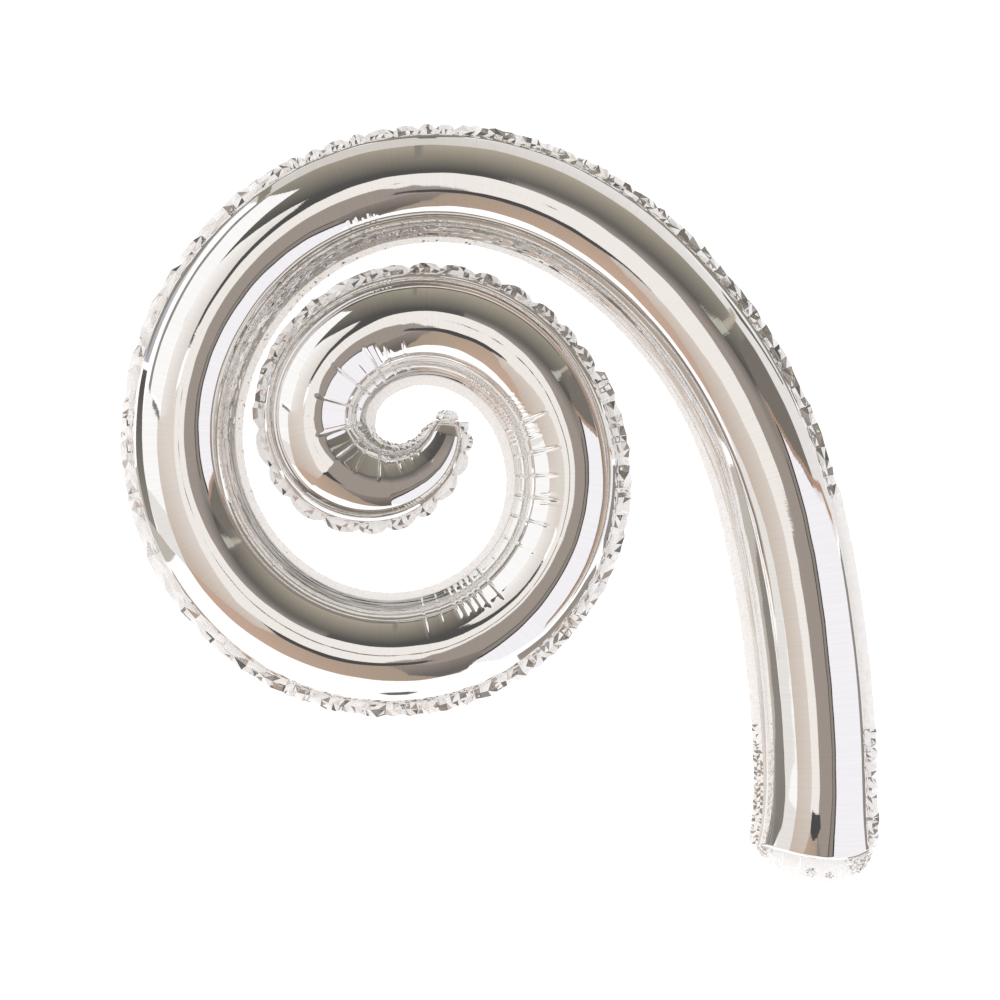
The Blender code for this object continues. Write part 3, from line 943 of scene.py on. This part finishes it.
@dataclass
class InnerSeal:
    """Narrow grained band along the inside of the curl, crumpled at the tail and towards the tip."""

    section: TubeSection
    finish: SealedFilm
    name: str = "inner_band"
    start: float = 9.0
    end: float = 1156.0
    tuck: float = 1.8
    half_thickness: float = 0.12
    step: float = 1.6
    columns: int = 5
    seed: int = 5
    widths: tuple[tuple[float, float], ...] = (
        (0, 4.4), (14, 5.2), (30, 4.4), (160, 4.8), (240, 2.6), (400, 2.6), (520, 3.6), (830, 3.6), (900, 4.6),
        (1085, 4.8), (1108, 2.6), (1156, 1.8),
    )
    roughness: tuple[tuple[float, float], ...] = (
        (0, 0.5), (50, 0.35), (75, 0.08), (300, 0.08), (380, 0.15), (620, 0.12), (900, 0.08), (1085, 0.1), (1112, 0.4),
        (1156, 0.4),
    )
    matt: tuple[tuple[float, float], ...] = (
        (0, 0.5), (55, 0.6), (70, 1.0), (350, 1.0), (390, 0.75), (620, 0.85), (700, 1.0), (1085, 1.0), (1110, 0.35),
        (1156, 0.45),
    )

    def build(self, wrap: CurlWrap) -> bpy.types.Object:
        """Make the band as a thin closed strip on the curl and dress it."""
        random = np.random.default_rng(self.seed)
        rows = np.linspace(self.start, self.end, int((self.end - self.start) / self.step))
        share = np.linspace(0.0, 1.0, self.columns)[None, :]
        width = np.interp(rows, *zip(*self.widths))
        width = width * (1.0 + random.uniform(-0.05, 0.05, len(rows)))
        inner = self.section.width(rows) - self.tuck
        across = -(inner[:, None] + share * (width + self.tuck)[:, None])
        distance = np.repeat(rows[:, None], self.columns, axis=1)
        out = np.clip((share * (width + self.tuck)[:, None] - self.tuck) / width[:, None], 0.0, 1.0)
        crinkle = np.interp(rows, *zip(*self.roughness))[:, None] * out
        matt_share = np.interp(rows, *zip(*self.matt))
        sheet = (distance, across, np.zeros_like(distance))
        blank = thin_strip(self.name, sheet, crinkle, matt_share, -self.half_thickness, random)
        return wrap.wrap(self.name, blank, Side.BACK, self.finish.material(), seed=self.seed, smooth=False)


@dataclass
class TipSeal:
    """Small crinkled flap where the tube ends in the middle of the curl."""

    finish: SealedFilm
    name: str = "tip_flap"
    start: float = 1154.2
    length: float = 6.8
    neck: float = 3.3
    half: float = 5.4
    half_thickness: float = 0.14
    rows: int = 8
    columns: int = 10
    matt_share: float = 0.7
    seed: int = 23

    def build(self, wrap: CurlWrap) -> bpy.types.Object:
        """Make the flap as a thin closed leaf on the curl and dress it."""
        random = np.random.default_rng(self.seed)
        rows = np.linspace(0.0, 1.0, self.rows)
        share = np.linspace(-1.0, 1.0, self.columns)[None, :]
        half = np.where(rows < 0.3, self.neck, self.half * np.sqrt(np.clip(1.0 - ((rows - 0.45) / 0.6) ** 2, 0.1, 1.0)))
        across = share * half[:, None]
        distance = np.repeat((self.start + self.length * rows)[:, None], self.columns, axis=1)
        out = smooth_step(0.28, 0.6, rows)[:, None]
        height = 0.3 * out * np.cos(2.6 * share * np.pi)
        crinkle = 0.35 * out * np.ones_like(share)
        matt_share = np.full(self.rows, self.matt_share)
        blank = thin_strip(self.name, (distance, across, height), crinkle, matt_share, self.half_thickness, random)
        return wrap.wrap(self.name, blank, Side.BACK, self.finish.material(), seed=self.seed, smooth=False)


@dataclass
class TailTab:
    """Flat pale tab that closes the tail, with a rounded free edge and a slot for the valve."""

    section: TubeSection
    finish: SealedFilm
    name: str = "tail_flap"
    centre: float = 5.6
    reach: tuple[float, float] = (33.0, 22.5)
    top: float = 10.6
    sag: float = 17.5
    shoulder: float = 24.0
    tuck: float = 2.2
    ends: tuple[float, float] = (-27.2, 27.9)
    half_thickness: float = 0.24
    slot_centre: float = -10.0
    slot_half: float = 4.3
    slot_start: float = -1.5
    step: float = 0.8
    seed: int = 31
    crumples: tuple[tuple[float, float, float, float], ...] = (
        (-3.0, -0.8, 2.2, 0.9), (-4.2, 7.6, 1.8, 0.9), (2.5, 22.5, 6.0, 0.8), (1.0, 16.5, 3.0, 0.5), (6.0, -25.0, 4.5, 0.6),
    )

    def edge(self, across: np.ndarray) -> np.ndarray:
        """Distance of the free lower edge."""
        offset = across - self.centre
        reach = np.where(offset < 0.0, self.reach[0], self.reach[1])
        return self.top - self.sag * np.sqrt(np.maximum(0.0, 1.0 - (offset / reach) ** 2))

    def stops(self) -> np.ndarray:
        """Places across the tab, with the sides of the slot among them."""
        marks = (self.ends[0], self.slot_centre - self.slot_half, self.slot_centre + self.slot_half, self.ends[1])
        places = [marks[0]]
        for low, high in zip(marks, marks[1:]):
            count = max(2, round((high - low) / self.step))
            places += [low + (high - low) * (i + 1) / count for i in range(count)]
        return np.array(places)

    def build(self, wrap: CurlWrap) -> bpy.types.Object:
        """Make the tab with its ribs and crinkles, as a closed sheet with the slot left open."""
        random = np.random.default_rng(self.seed)
        across = self.stops()
        low = self.edge(across)
        high = np.where(
            np.abs(across) > self.shoulder, self.top, self.section.tail_seam(across) + self.tuck
        )
        inside = np.abs(across - self.slot_centre) <= self.slot_half + 1e-6
        count = 22
        rows = np.linspace(0.0, 1.0, count)
        low_rows = 9
        distance = low[:, None] + (high - low)[:, None] * rows[None, :]
        slotted = np.concatenate(
            (
                np.linspace(0.0, 1.0, low_rows)[None, :] * (self.slot_start - low)[:, None] + low[:, None],
                self.slot_start
                + np.linspace(0.0, 1.0, count - low_rows + 1)[None, 1:] * (high - self.slot_start)[:, None],
            ),
            axis=1,
        )
        near = smooth_step(2.5, 0.0, np.abs(across - self.slot_centre) - self.slot_half)[:, None]
        distance = distance * (1.0 - near) + slotted * near
        spread = np.repeat(across[:, None], count, axis=1)
        free = smooth_step(0.0, 2.0, (high[:, None] - self.tuck) - distance)
        ripple = random.uniform(-1.0, 1.0, distance.shape)
        crease = 0.10 * ripple + 0.22 * np.sin(spread * 1.9 + 0.8 * np.sin(distance * 0.7)) * smooth_step(
            4.0, -2.0, distance
        )
        apart = smooth_step(0.4, 2.0, np.abs(spread - self.slot_centre) - self.slot_half)
        crumple = np.zeros_like(distance)
        for place, centre, reach, size in self.crumples:
            near_it = np.exp(-(((distance - place) / reach) ** 2 + ((spread - centre) / reach) ** 2))
            crumple = np.maximum(crumple, size * near_it)
        height = (crease + crumple * random.uniform(-0.9, 0.9, distance.shape)) * free * apart
        mirror = random.uniform(0.0, 1.0, distance.shape) < 1.1 * crumple - 0.15
        points, faces, matt = [], [], []
        total = distance.size
        for sign in (-1.0, 1.0):
            layer = np.stack((distance, spread, height + sign * self.half_thickness), axis=2)
            points.append(layer.reshape(-1, 3))
        index = np.arange(total).reshape(distance.shape)
        middle = 0.5 * (across[1:] + across[:-1])
        hole = (np.abs(middle - self.slot_centre) < self.slot_half)[:, None] & (
            np.arange(count - 1)[None, :] >= low_rows - 1
        )
        edges: dict[tuple[int, int], int] = {}
        for i, j in zip(*np.nonzero(~hole)):
            ring = [int(index[i, j]), int(index[i + 1, j]), int(index[i + 1, j + 1]), int(index[i, j + 1])]
            faces += [[v + total for v in reversed(ring)], ring]
            matt += [0.0 if mirror[i, j] else 1.0] * 2
            for a, b in zip(ring, ring[1:] + ring[:1]):
                edges[(a, b)] = edges.get((a, b), 0) + 1
        for a, b in edges:
            if (b, a) not in edges:
                faces.append([b, a, a + total, b + total])
                matt.append(1.0)
        mesh = bpy.data.meshes.new(self.name)
        mesh.from_pydata((np.concatenate(points) * MM).tolist(), [], faces)
        loose = np.concatenate((distance.ravel(), distance.ravel()))
        write_film_map(mesh, loose, np.concatenate((spread.ravel(), spread.ravel())))
        used = np.zeros(total * 2, bool)
        for face in faces:
            used[face] = True
        for label in ("pucker", "crinkle"):
            mesh.attributes.new(label, "FLOAT", "POINT")
        mesh.attributes.new("pair", "INT", "POINT")
        write_matt(mesh, np.array(matt))
        drop_loose(mesh, used)
        return wrap.wrap(self.name, mesh, Side.BACK, self.finish.material(), seed=self.seed, smooth=False)


def drop_loose(mesh: bpy.types.Mesh, used: np.ndarray) -> None:
    """Remove the points that no face uses.

    Args:
        mesh: the mesh to clean.
        used: for each point, whether a face uses it.
    """
    made = bmesh.new()
    made.from_mesh(mesh)
    made.verts.ensure_lookup_table()
    bmesh.ops.delete(made, geom=[made.verts[int(i)] for i in np.nonzero(~used)[0]], context="VERTS")
    made.to_mesh(mesh)
    made.free()


@dataclass(frozen=True)
class ValveFilm:
    """Thin clear polyethylene of the filling valve: milky where it lies on itself."""

    name: str = "clear polyethylene valve film"
    colour: str = "#FBFAFA"
    roughness: float = 0.38
    wrinkle: float = 1.4

    def material(self) -> bpy.types.Material:
        """Make the valve's material with its fine wrinkles."""
        made = bpy.data.materials.new(self.name)
        made.use_nodes = True
        tree = made.node_tree
        shader = tree.nodes["Principled BSDF"]
        place = add_node(tree, "ShaderNodeTexCoord").outputs["Object"]
        noise = add_node(
            tree, "ShaderNodeTexNoise", None, {"Vector": place, "Scale": 1.0 / (self.wrinkle * MM), "Detail": 2.0}
        ).outputs[0]
        bump = add_node(tree, "ShaderNodeBump", None, {"Strength": 0.6, "Distance": 0.05 * MM, "Height": noise})
        tone = add_node(
            tree,
            "ShaderNodeMix",
            {"data_type": "RGBA"},
            {"Factor": noise, 6: (*linear(self.colour), 1.0), 7: (*linear("#F1EFEE"), 1.0)},
        )
        shader.inputs["Roughness"].default_value = self.roughness
        tree.links.new(tone.outputs[2], shader.inputs["Base Color"])
        tree.links.new(bump.outputs[0], shader.inputs["Normal"])
        return made


@dataclass(frozen=True)
class Card:
    """A glowing studio panel, drawn where a mirror ball at the curl's centre would show it: a painted reflection of the
    room, its tones holding the room's light and shade.

    Attributes:
        name: what the panel is.
        colour: colour at its start.
        corners: corners on the mirror ball's disc, right and up, from -1 to 1.
        fade: colour at its end, if it isn't all one colour.
        along: two disc points that the colour runs between.
        back: whether the disc is the one seen from behind.
    """

    name: str
    colour: str
    corners: tuple[tuple[float, float], ...]
    fade: str = ""
    along: tuple[tuple[float, float], tuple[float, float]] = ((0.0, 0.0), (0.0, 1.0))
    back: bool = False


@dataclass
class Studio:
    """Pale room round the balloon: floor, glowing panels whose tones paint the room's reflection in the mirror film,
    light and shade included, and the camera.
    """

    centre: tuple[float, float, float] = (-0.22, 0.0, 0.26)
    distance: float = 1.08
    layer_gap: float = 0.003
    cuts: int = 6
    camera_distance: float = 2.2
    camera_target: tuple[float, float] = (-0.1466, 0.1717)
    frame_width: float = 0.469
    floor_level: float = -0.62
    # Tones and fades of these panels are painted reflection: the room's walls, lamps, light and shade as the film shows
    # them.
    cards: tuple[Card, ...] = (
        Card("upper wall", "#D3CEC9", (
            (-0.6, 0.71), (-0.32, 0.87), (0.0, 0.93), (0.32, 0.87), (0.6, 0.71), (0.8, 0.47), (0.915, 0.16),
            (0.93, 0.0), (0.7, 0.03), (0.6, 0.25), (0.4, 0.5), (0.0, 0.65), (-0.4, 0.58),
        ), "#E6E3E1", ((0.05, 0.7), (0.5, 0.85))),
        Card("ceiling", "#504F4E", (
            (-0.46, 0.64), (-0.3, 0.71), (-0.15, 0.74), (0.0, 0.745), (0.17, 0.725), (0.33, 0.655), (0.46, 0.555),
            (0.57, 0.42), (0.65, 0.27), (0.72, 0.1), (0.4, 0.07), (0.2, 0.0), (0.0, 0.0), (-0.2, 0.05), (-0.45, 0.2),
        ), "#B0A898", ((0.0, 0.2), (0.15, 0.74))),
        Card("ceiling dim end", "#76716A", ((0.36, 0.09), (0.72, 0.1), (0.68, 0.22), (0.62, 0.33), (0.42, 0.2))),
        Card("ceiling lamp pole", "#B7B5AB", ((0.29, 0.14), (0.42, 0.222), (0.42, 0.246), (0.29, 0.165))),
        Card("ceiling far pole", "#B3AC9E", ((0.42, 0.226), (0.66, 0.385), (0.66, 0.402), (0.42, 0.242))),
        Card("ceiling rail", "#86827A", ((-0.035, 0.745), (-0.015, 0.745), (-0.008, 0.45), (-0.02, 0.45))),
        Card("left box shadow", "#8F8B87", (
            (-0.47, 0.645), (-0.43, 0.63), (-0.59, 0.37), (-0.66, 0.07), (-0.72, 0.1), (-0.7, 0.26), (-0.63, 0.44),
            (-0.55, 0.57),
        )),
        Card("left soft box", "#FCFCFC", (
            (-0.44, 0.63), (-0.265, 0.49), (-0.35, 0.29), (-0.385, 0.17), (-0.42, 0.02), (-0.67, 0.08), (-0.66, 0.22),
            (-0.6, 0.39), (-0.53, 0.52),
        )),
        Card("left cream panel", "#F8F6F4", (
            (-0.37, 0.27), (-0.3, 0.285), (-0.13, 0.24), (-0.11, 0.17), (-0.12, 0.05), (-0.15, -0.02), (-0.42, -0.02),
            (-0.39, 0.1),
        ), "#DDD5CE", ((-0.35, 0.25), (-0.15, 0.0))),
        Card("low left box", "#FBFBFB", (
            (-0.75, 0.1), (-0.58, 0.05), (-0.46, 0.0), (-0.48, -0.19), (-0.76, -0.19), (-0.77, -0.03),
        )),
        Card("low left box foot", "#E6E3E0", ((-0.76, -0.19), (-0.48, -0.19), (-0.5, -0.34), (-0.73, -0.33))),
        Card("low left box seam", "#77736F", ((-0.6, 0.05), (-0.42, 0.004), (-0.42, -0.008), (-0.6, 0.034))),
        Card("beige wall", "#DDD5CE", (
            (-0.46, 0.0), (-0.08, 0.0), (-0.1, -0.19), (-0.15, -0.34), (-0.5, -0.34),
        ), "#C6B7AB", ((-0.25, -0.03), (-0.35, -0.32))),
        Card("far left opening", "#57554F", (
            (-0.89, 0.17), (-0.8, 0.15), (-0.77, 0.0), (-0.765, -0.1), (-0.75, -0.2), (-0.75, -0.35), (-0.84, -0.33),
            (-0.89, -0.15),
        ), "#8B867F", ((-0.8, 0.1), (-0.8, -0.3))),
        Card("far left wall", "#BDB7AF", (
            (-0.95, -0.2), (-0.89, -0.15), (-0.84, -0.33), (-0.74, -0.33), (-0.58, -0.34), (-0.8, -0.49), (-0.87, -0.47),
        )),
        Card("upper left screen", "#DDDDE0", (
            (-0.6, 0.78), (-0.56, 0.69), (-0.66, 0.58), (-0.71, 0.46), (-0.77, 0.3), (-0.81, 0.18), (-0.95, 0.2),
            (-0.92, 0.37), (-0.8, 0.58),
        ), "#B1B1B8", ((-0.62, 0.66), (-0.84, 0.32))),
        Card("upper left pole", "#8B857B", ((-0.585, 0.8), (-0.53, 0.82), (-0.455, 0.665), (-0.49, 0.625))),
        Card("wooden floor", "#C3A896", (
            (-0.5, -0.33), (-0.22, -0.31), (-0.13, -0.24), (-0.06, -0.2), (0.03, -0.19), (0.16, -0.36), (0.2, -0.5),
            (0.19, -0.58), (0.07, -0.57), (-0.07, -0.525), (-0.23, -0.5), (-0.38, -0.45), (-0.46, -0.39),
        ), "#A39586", ((-0.3, -0.4), (0.08, -0.4))),
        Card("wall panel", "#6A6663", (
            (0.09, 0.255), (0.2, 0.235), (0.28, 0.17), (0.37, 0.09), (0.345, 0.0), (0.3, -0.1), (0.16, -0.36),
            (0.02, -0.32), (-0.01, -0.12), (0.05, 0.1),
        ), "#9C938C", ((0.17, 0.2), (0.13, 0.08))),
        Card("panel frame", "#8C857E", (
            (0.36, 0.13), (0.43, 0.1), (0.42, 0.0), (0.34, -0.18), (0.2, -0.47), (0.16, -0.5), (0.15, -0.36),
            (0.28, -0.15), (0.345, 0.0),
        )),
        Card("panel frame outer line", "#3F3B3A", (
            (0.41, 0.12), (0.437, 0.11), (0.43, 0.0), (0.352, -0.18), (0.195, -0.48), (0.172, -0.47), (0.328, -0.18),
            (0.407, 0.0),
        )),
        Card("panel frame inner line", "#57524F", (
            (0.345, 0.05), (0.362, 0.05), (0.352, -0.03), (0.292, -0.14), (0.163, -0.37), (0.15, -0.36),
            (0.28, -0.14), (0.335, -0.02),
        )),
        Card("right soft box", "#F4F3F8", (
            (0.437, 0.1), (0.6, 0.1), (0.8, 0.07), (0.875, 0.0), (0.88, -0.08), (0.83, -0.26), (0.66, -0.42),
            (0.53, -0.58), (0.33, -0.62), (0.21, -0.52), (0.195, -0.48), (0.352, -0.18), (0.43, 0.0),
        )),
        Card("right box top rail", "#B08F7C", (
            (0.4, 0.1), (0.6, 0.103), (0.8, 0.083), (0.878, 0.02), (0.884, 0.036), (0.81, 0.1), (0.6, 0.118),
            (0.39, 0.114),
        )),
        Card("right box far side", "#8E8884", (
            (0.88, -0.02), (0.97, -0.05), (0.94, -0.32), (0.86, -0.47), (0.8, -0.3), (0.855, -0.14),
        )),
        Card("low right opening", "#958E88", (
            (0.78, -0.4), (0.82, -0.5), (0.6, -0.75), (0.49, -0.8), (0.43, -0.68), (0.55, -0.62), (0.7, -0.44),
        )),
        Card("front panel", "#F1ECE8", (
            (-0.03, 0.13), (0.03, 0.145), (0.09, 0.11), (0.12, 0.05), (0.11, -0.05), (0.03, -0.08), (0.01, -0.16),
            (-0.02, -0.23), (-0.165, -0.19), (-0.1, -0.02), (-0.07, 0.05),
        )),
        Card("front panel spot", "#6A6560", ((-0.012, -0.045), (0.0, -0.047), (0.008, -0.03), (-0.004, -0.022))),
        Card("dark plinth", "#8F857E", (
            (0.0, -0.25), (0.08, -0.32), (0.16, -0.34), (0.19, -0.42), (0.2, -0.56), (0.13, -0.57), (0.04, -0.46),
        ), "#6B6562", ((0.1, -0.3), (0.12, -0.5))),
        Card("low stand", "#4B4B4D", (
            (-0.13, -0.188), (-0.05, -0.2), (0.03, -0.2), (0.05, -0.24), (0.0, -0.265), (-0.07, -0.275), (-0.13, -0.25),
        )),
        Card("sweep clamp", "#6B6865", (
            (-0.035, -0.775), (0.0, -0.752), (0.06, -0.75), (0.095, -0.77), (0.06, -0.802), (0.0, -0.8),
        )),
        Card("top lamp", "#77726E", (
            (-0.2, 0.925), (0.17, 0.935), (0.12, 0.905), (0.04, 0.895), (0.03, 0.87), (-0.02, 0.875), (-0.03, 0.9),
            (-0.2, 0.905),
        )),
        Card("side lamp", "#6C6864", (
            (0.69, 0.43), (0.71, 0.45), (0.76, 0.36), (0.82, 0.27), (0.8, 0.265), (0.73, 0.35), (0.69, 0.38),
        )),
        Card("side lamp glare", "#F6F5F3", (
            (0.66, 0.55), (0.68, 0.56), (0.74, 0.46), (0.79, 0.345), (0.765, 0.36), (0.71, 0.455),
        )),
        Card("rear ceiling", "#8D887F", ((-0.45, 0.1), (0.45, 0.1), (0.4, 0.28), (0.0, 0.4), (-0.4, 0.28)), back=True),
        Card("rear wall", "#A59B92", ((-0.08, 0.1), (0.22, 0.1), (0.27, -0.2), (-0.04, -0.24)), back=True),
        Card("rear floor", "#AFA297", (
            (-0.07, -0.19), (0.24, -0.19), (0.38, -0.25), (0.33, -0.32), (0.0, -0.4), (-0.33, -0.32), (-0.36, -0.27),
        ), back=True),
    )

    def direction(self, x: float, z: float, back: bool) -> tuple[float, float, float]:
        """Where a mirror ball's disc point looks, as a unit vector."""
        facing = 1.0 - 2.0 * (1.0 - min(x * x + z * z, 1.0))
        reach = 2.0 * math.sqrt(max(0.0, 1.0 - x * x - z * z))
        sign = -1.0 if back else 1.0
        return (sign * reach * x, sign * facing, reach * z)

    def build_card(self, card: Card, layer: int, finish: bpy.types.Material) -> bpy.types.Object:
        """Make one panel as a piece of a sphere round the curl.

        Args:
            card: the panel.
            layer: its place in the list; later ones hang nearer and hide earlier ones.
            finish: the shared panel material.

        Returns:
            The panel, kept out of the balloon's body and hidden from the camera, from diffuse light and from shadows.
        """
        made = bmesh.new()
        corners = [made.verts.new((x, z, 0.0)) for x, z in card.corners]
        face = made.faces.new(corners)
        bmesh.ops.triangulate(made, faces=[face])
        bmesh.ops.subdivide_edges(made, edges=made.edges[:], cuts=self.cuts, use_grid_fill=True)
        tone = made.verts.layers.float_color.new("tone")
        start, end = np.array(card.along[0]), np.array(card.along[1])
        span = end - start
        first, last = np.array(linear(card.colour)), np.array(linear(card.fade or card.colour))
        away = self.distance - self.layer_gap * layer
        for vertex in made.verts:
            x, z = vertex.co.x, vertex.co.y
            share = float(np.clip(np.dot(np.array((x, z)) - start, span) / np.dot(span, span), 0.0, 1.0))
            vertex[tone] = (*(first + (last - first) * share), 1.0)
            ray = self.direction(x, z, card.back)
            vertex.co = tuple(self.centre[k] + away * ray[k] for k in range(3))
        data = bpy.data.meshes.new(card.name)
        made.to_mesh(data)
        made.free()
        data.materials.append(finish)
        panel = bpy.data.objects.new(card.name, data)
        bpy.context.scene.collection.objects.link(panel)
        panel.visible_camera = False
        panel.visible_diffuse = False
        panel.visible_shadow = False
        return panel

    def reflection_panel_material(self) -> bpy.types.Material:
        """Glowing panels that paint the room's reflection in the film, its light and shade included, coloured by each
        panel's own tone.
        """
        made = bpy.data.materials.new("painted reflection panel")
        made.use_nodes = True
        tree = made.node_tree
        tree.nodes.clear()
        tone = add_node(tree, "ShaderNodeAttribute", {"attribute_name": "tone"}).outputs[0]
        glow = add_node(tree, "ShaderNodeEmission", None, {"Color": tone, "Strength": 1.09})
        add_node(tree, "ShaderNodeOutputMaterial", None, {0: glow.outputs[0]})
        return made

    def build_floor(self) -> bpy.types.Object:
        """Pale studio floor, far below the balloon."""
        made = bmesh.new()
        bmesh.ops.create_grid(made, x_segments=8, y_segments=8, size=9.0)
        data = bpy.data.meshes.new("studio floor")
        made.to_mesh(data)
        made.free()
        data.transform(Matrix.Translation((0.0, 0.0, self.floor_level)))
        finish = bpy.data.materials.new("pale floor paint")
        finish.use_nodes = True
        shader = finish.node_tree.nodes["Principled BSDF"]
        shader.inputs["Base Color"].default_value = (*linear("#F7F6F5"), 1.0)
        shader.inputs["Roughness"].default_value = 0.9
        shader.inputs["Emission Color"].default_value = (1.0, 1.0, 1.0, 1.0)
        shader.inputs["Emission Strength"].default_value = 0.12
        data.materials.append(finish)
        floor = bpy.data.objects.new("studio floor", data)
        bpy.context.scene.collection.objects.link(floor)
        floor.visible_glossy = False
        return floor

    def build_light(self) -> None:
        """White room light all round."""
        world = bpy.data.worlds.new("white studio")
        world.use_nodes = True
        background = world.node_tree.nodes["Background"]
        background.inputs[0].default_value = (1.0, 1.0, 1.0, 1.0)
        background.inputs[1].default_value = 1.2
        bpy.context.scene.world = world
        bpy.context.scene.view_settings.view_transform = "Standard"

    def build_camera(self) -> None:
        """Camera square on to the front of the curl."""
        lens = bpy.data.cameras.new("camera")
        lens.sensor_width = 36.0
        lens.lens = lens.sensor_width * self.camera_distance / self.frame_width
        lens.clip_end = 50.0
        camera = bpy.data.objects.new("camera", lens)
        camera.location = (self.camera_target[0], -self.camera_distance, self.camera_target[1])
        camera.rotation_euler = (math.radians(90.0), 0.0, 0.0)
        bpy.context.scene.collection.objects.link(camera)
        bpy.context.scene.camera = camera

    def build(self) -> None:
        """Set up the whole studio."""
        self.build_light()
        self.build_camera()
        self.build_floor()
        finish = self.reflection_panel_material()
        for layer, card in enumerate(self.cards):
            self.build_card(card, layer, finish)


def report(piece: bpy.types.Object, slot: str, *nodes: str) -> None:
    """Tie a finished piece to the frame and log its size.

    Args:
        piece: the finished piece.
        slot: the record's material slot; not used.
        nodes: the CAD nodes that it stands for.
    """
    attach(piece, "root")
    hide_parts(*nodes)
    triangles = sum(len(face.vertices) - 2 for face in piece.data.polygons)
    log.info("%s: %d triangles, for %s", piece.name, triangles, ", ".join(nodes))


def main() -> None:
    """Build the studio and the balloon in order."""
    Studio().build()
    section = TubeSection()
    wrap = CurlWrap(Curl())
    film = MetallisedFilm()
    fin_film = SealedFilm("crinkled foil fin", "#FCFBFB", "#EAE7E5")
    band_film = SealedFilm("heat sealed foil band", "#FFFDFB", "#E6E0DB", grain=1.1, grain_height=0.07)
    tab_film = SealedFilm("pressed tail film", "#FCFBFB", "#F2F0EF", grain=1.2, rib_width=1.6, rib_height=0.03)
    shells = (
        FilmShell(Side.FRONT, "front_film", "front_foil", section, film),
        FilmShell(Side.BACK, "back_film", "back_foil", section, film),
    )
    for shell in shells:
        report(shell.build(wrap), shell.slot, shell.slot)
    report(OuterSeal(section, fin_film).build(wrap), "outer_seal", "outer_seal")
    report(InnerSeal(section, band_film).build(wrap), "inner_seal", "inner_seal")
    report(TipSeal(fin_film).build(wrap), "tip_seal", "tip_seal")
    report(TailTab(section, tab_film).build(wrap), "tail_tab", "tail_tab")
    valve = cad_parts["filling_valve"]
    valve.data.materials.clear()
    valve.data.materials.append(ValveFilm().material())
    log.info("filling_valve: the CAD strip, in clear film")
    wrap.finish()


if __name__ == "__main__":
    logging.basicConfig(level=logging.INFO, format="%(name)s: %(message)s")
    main()
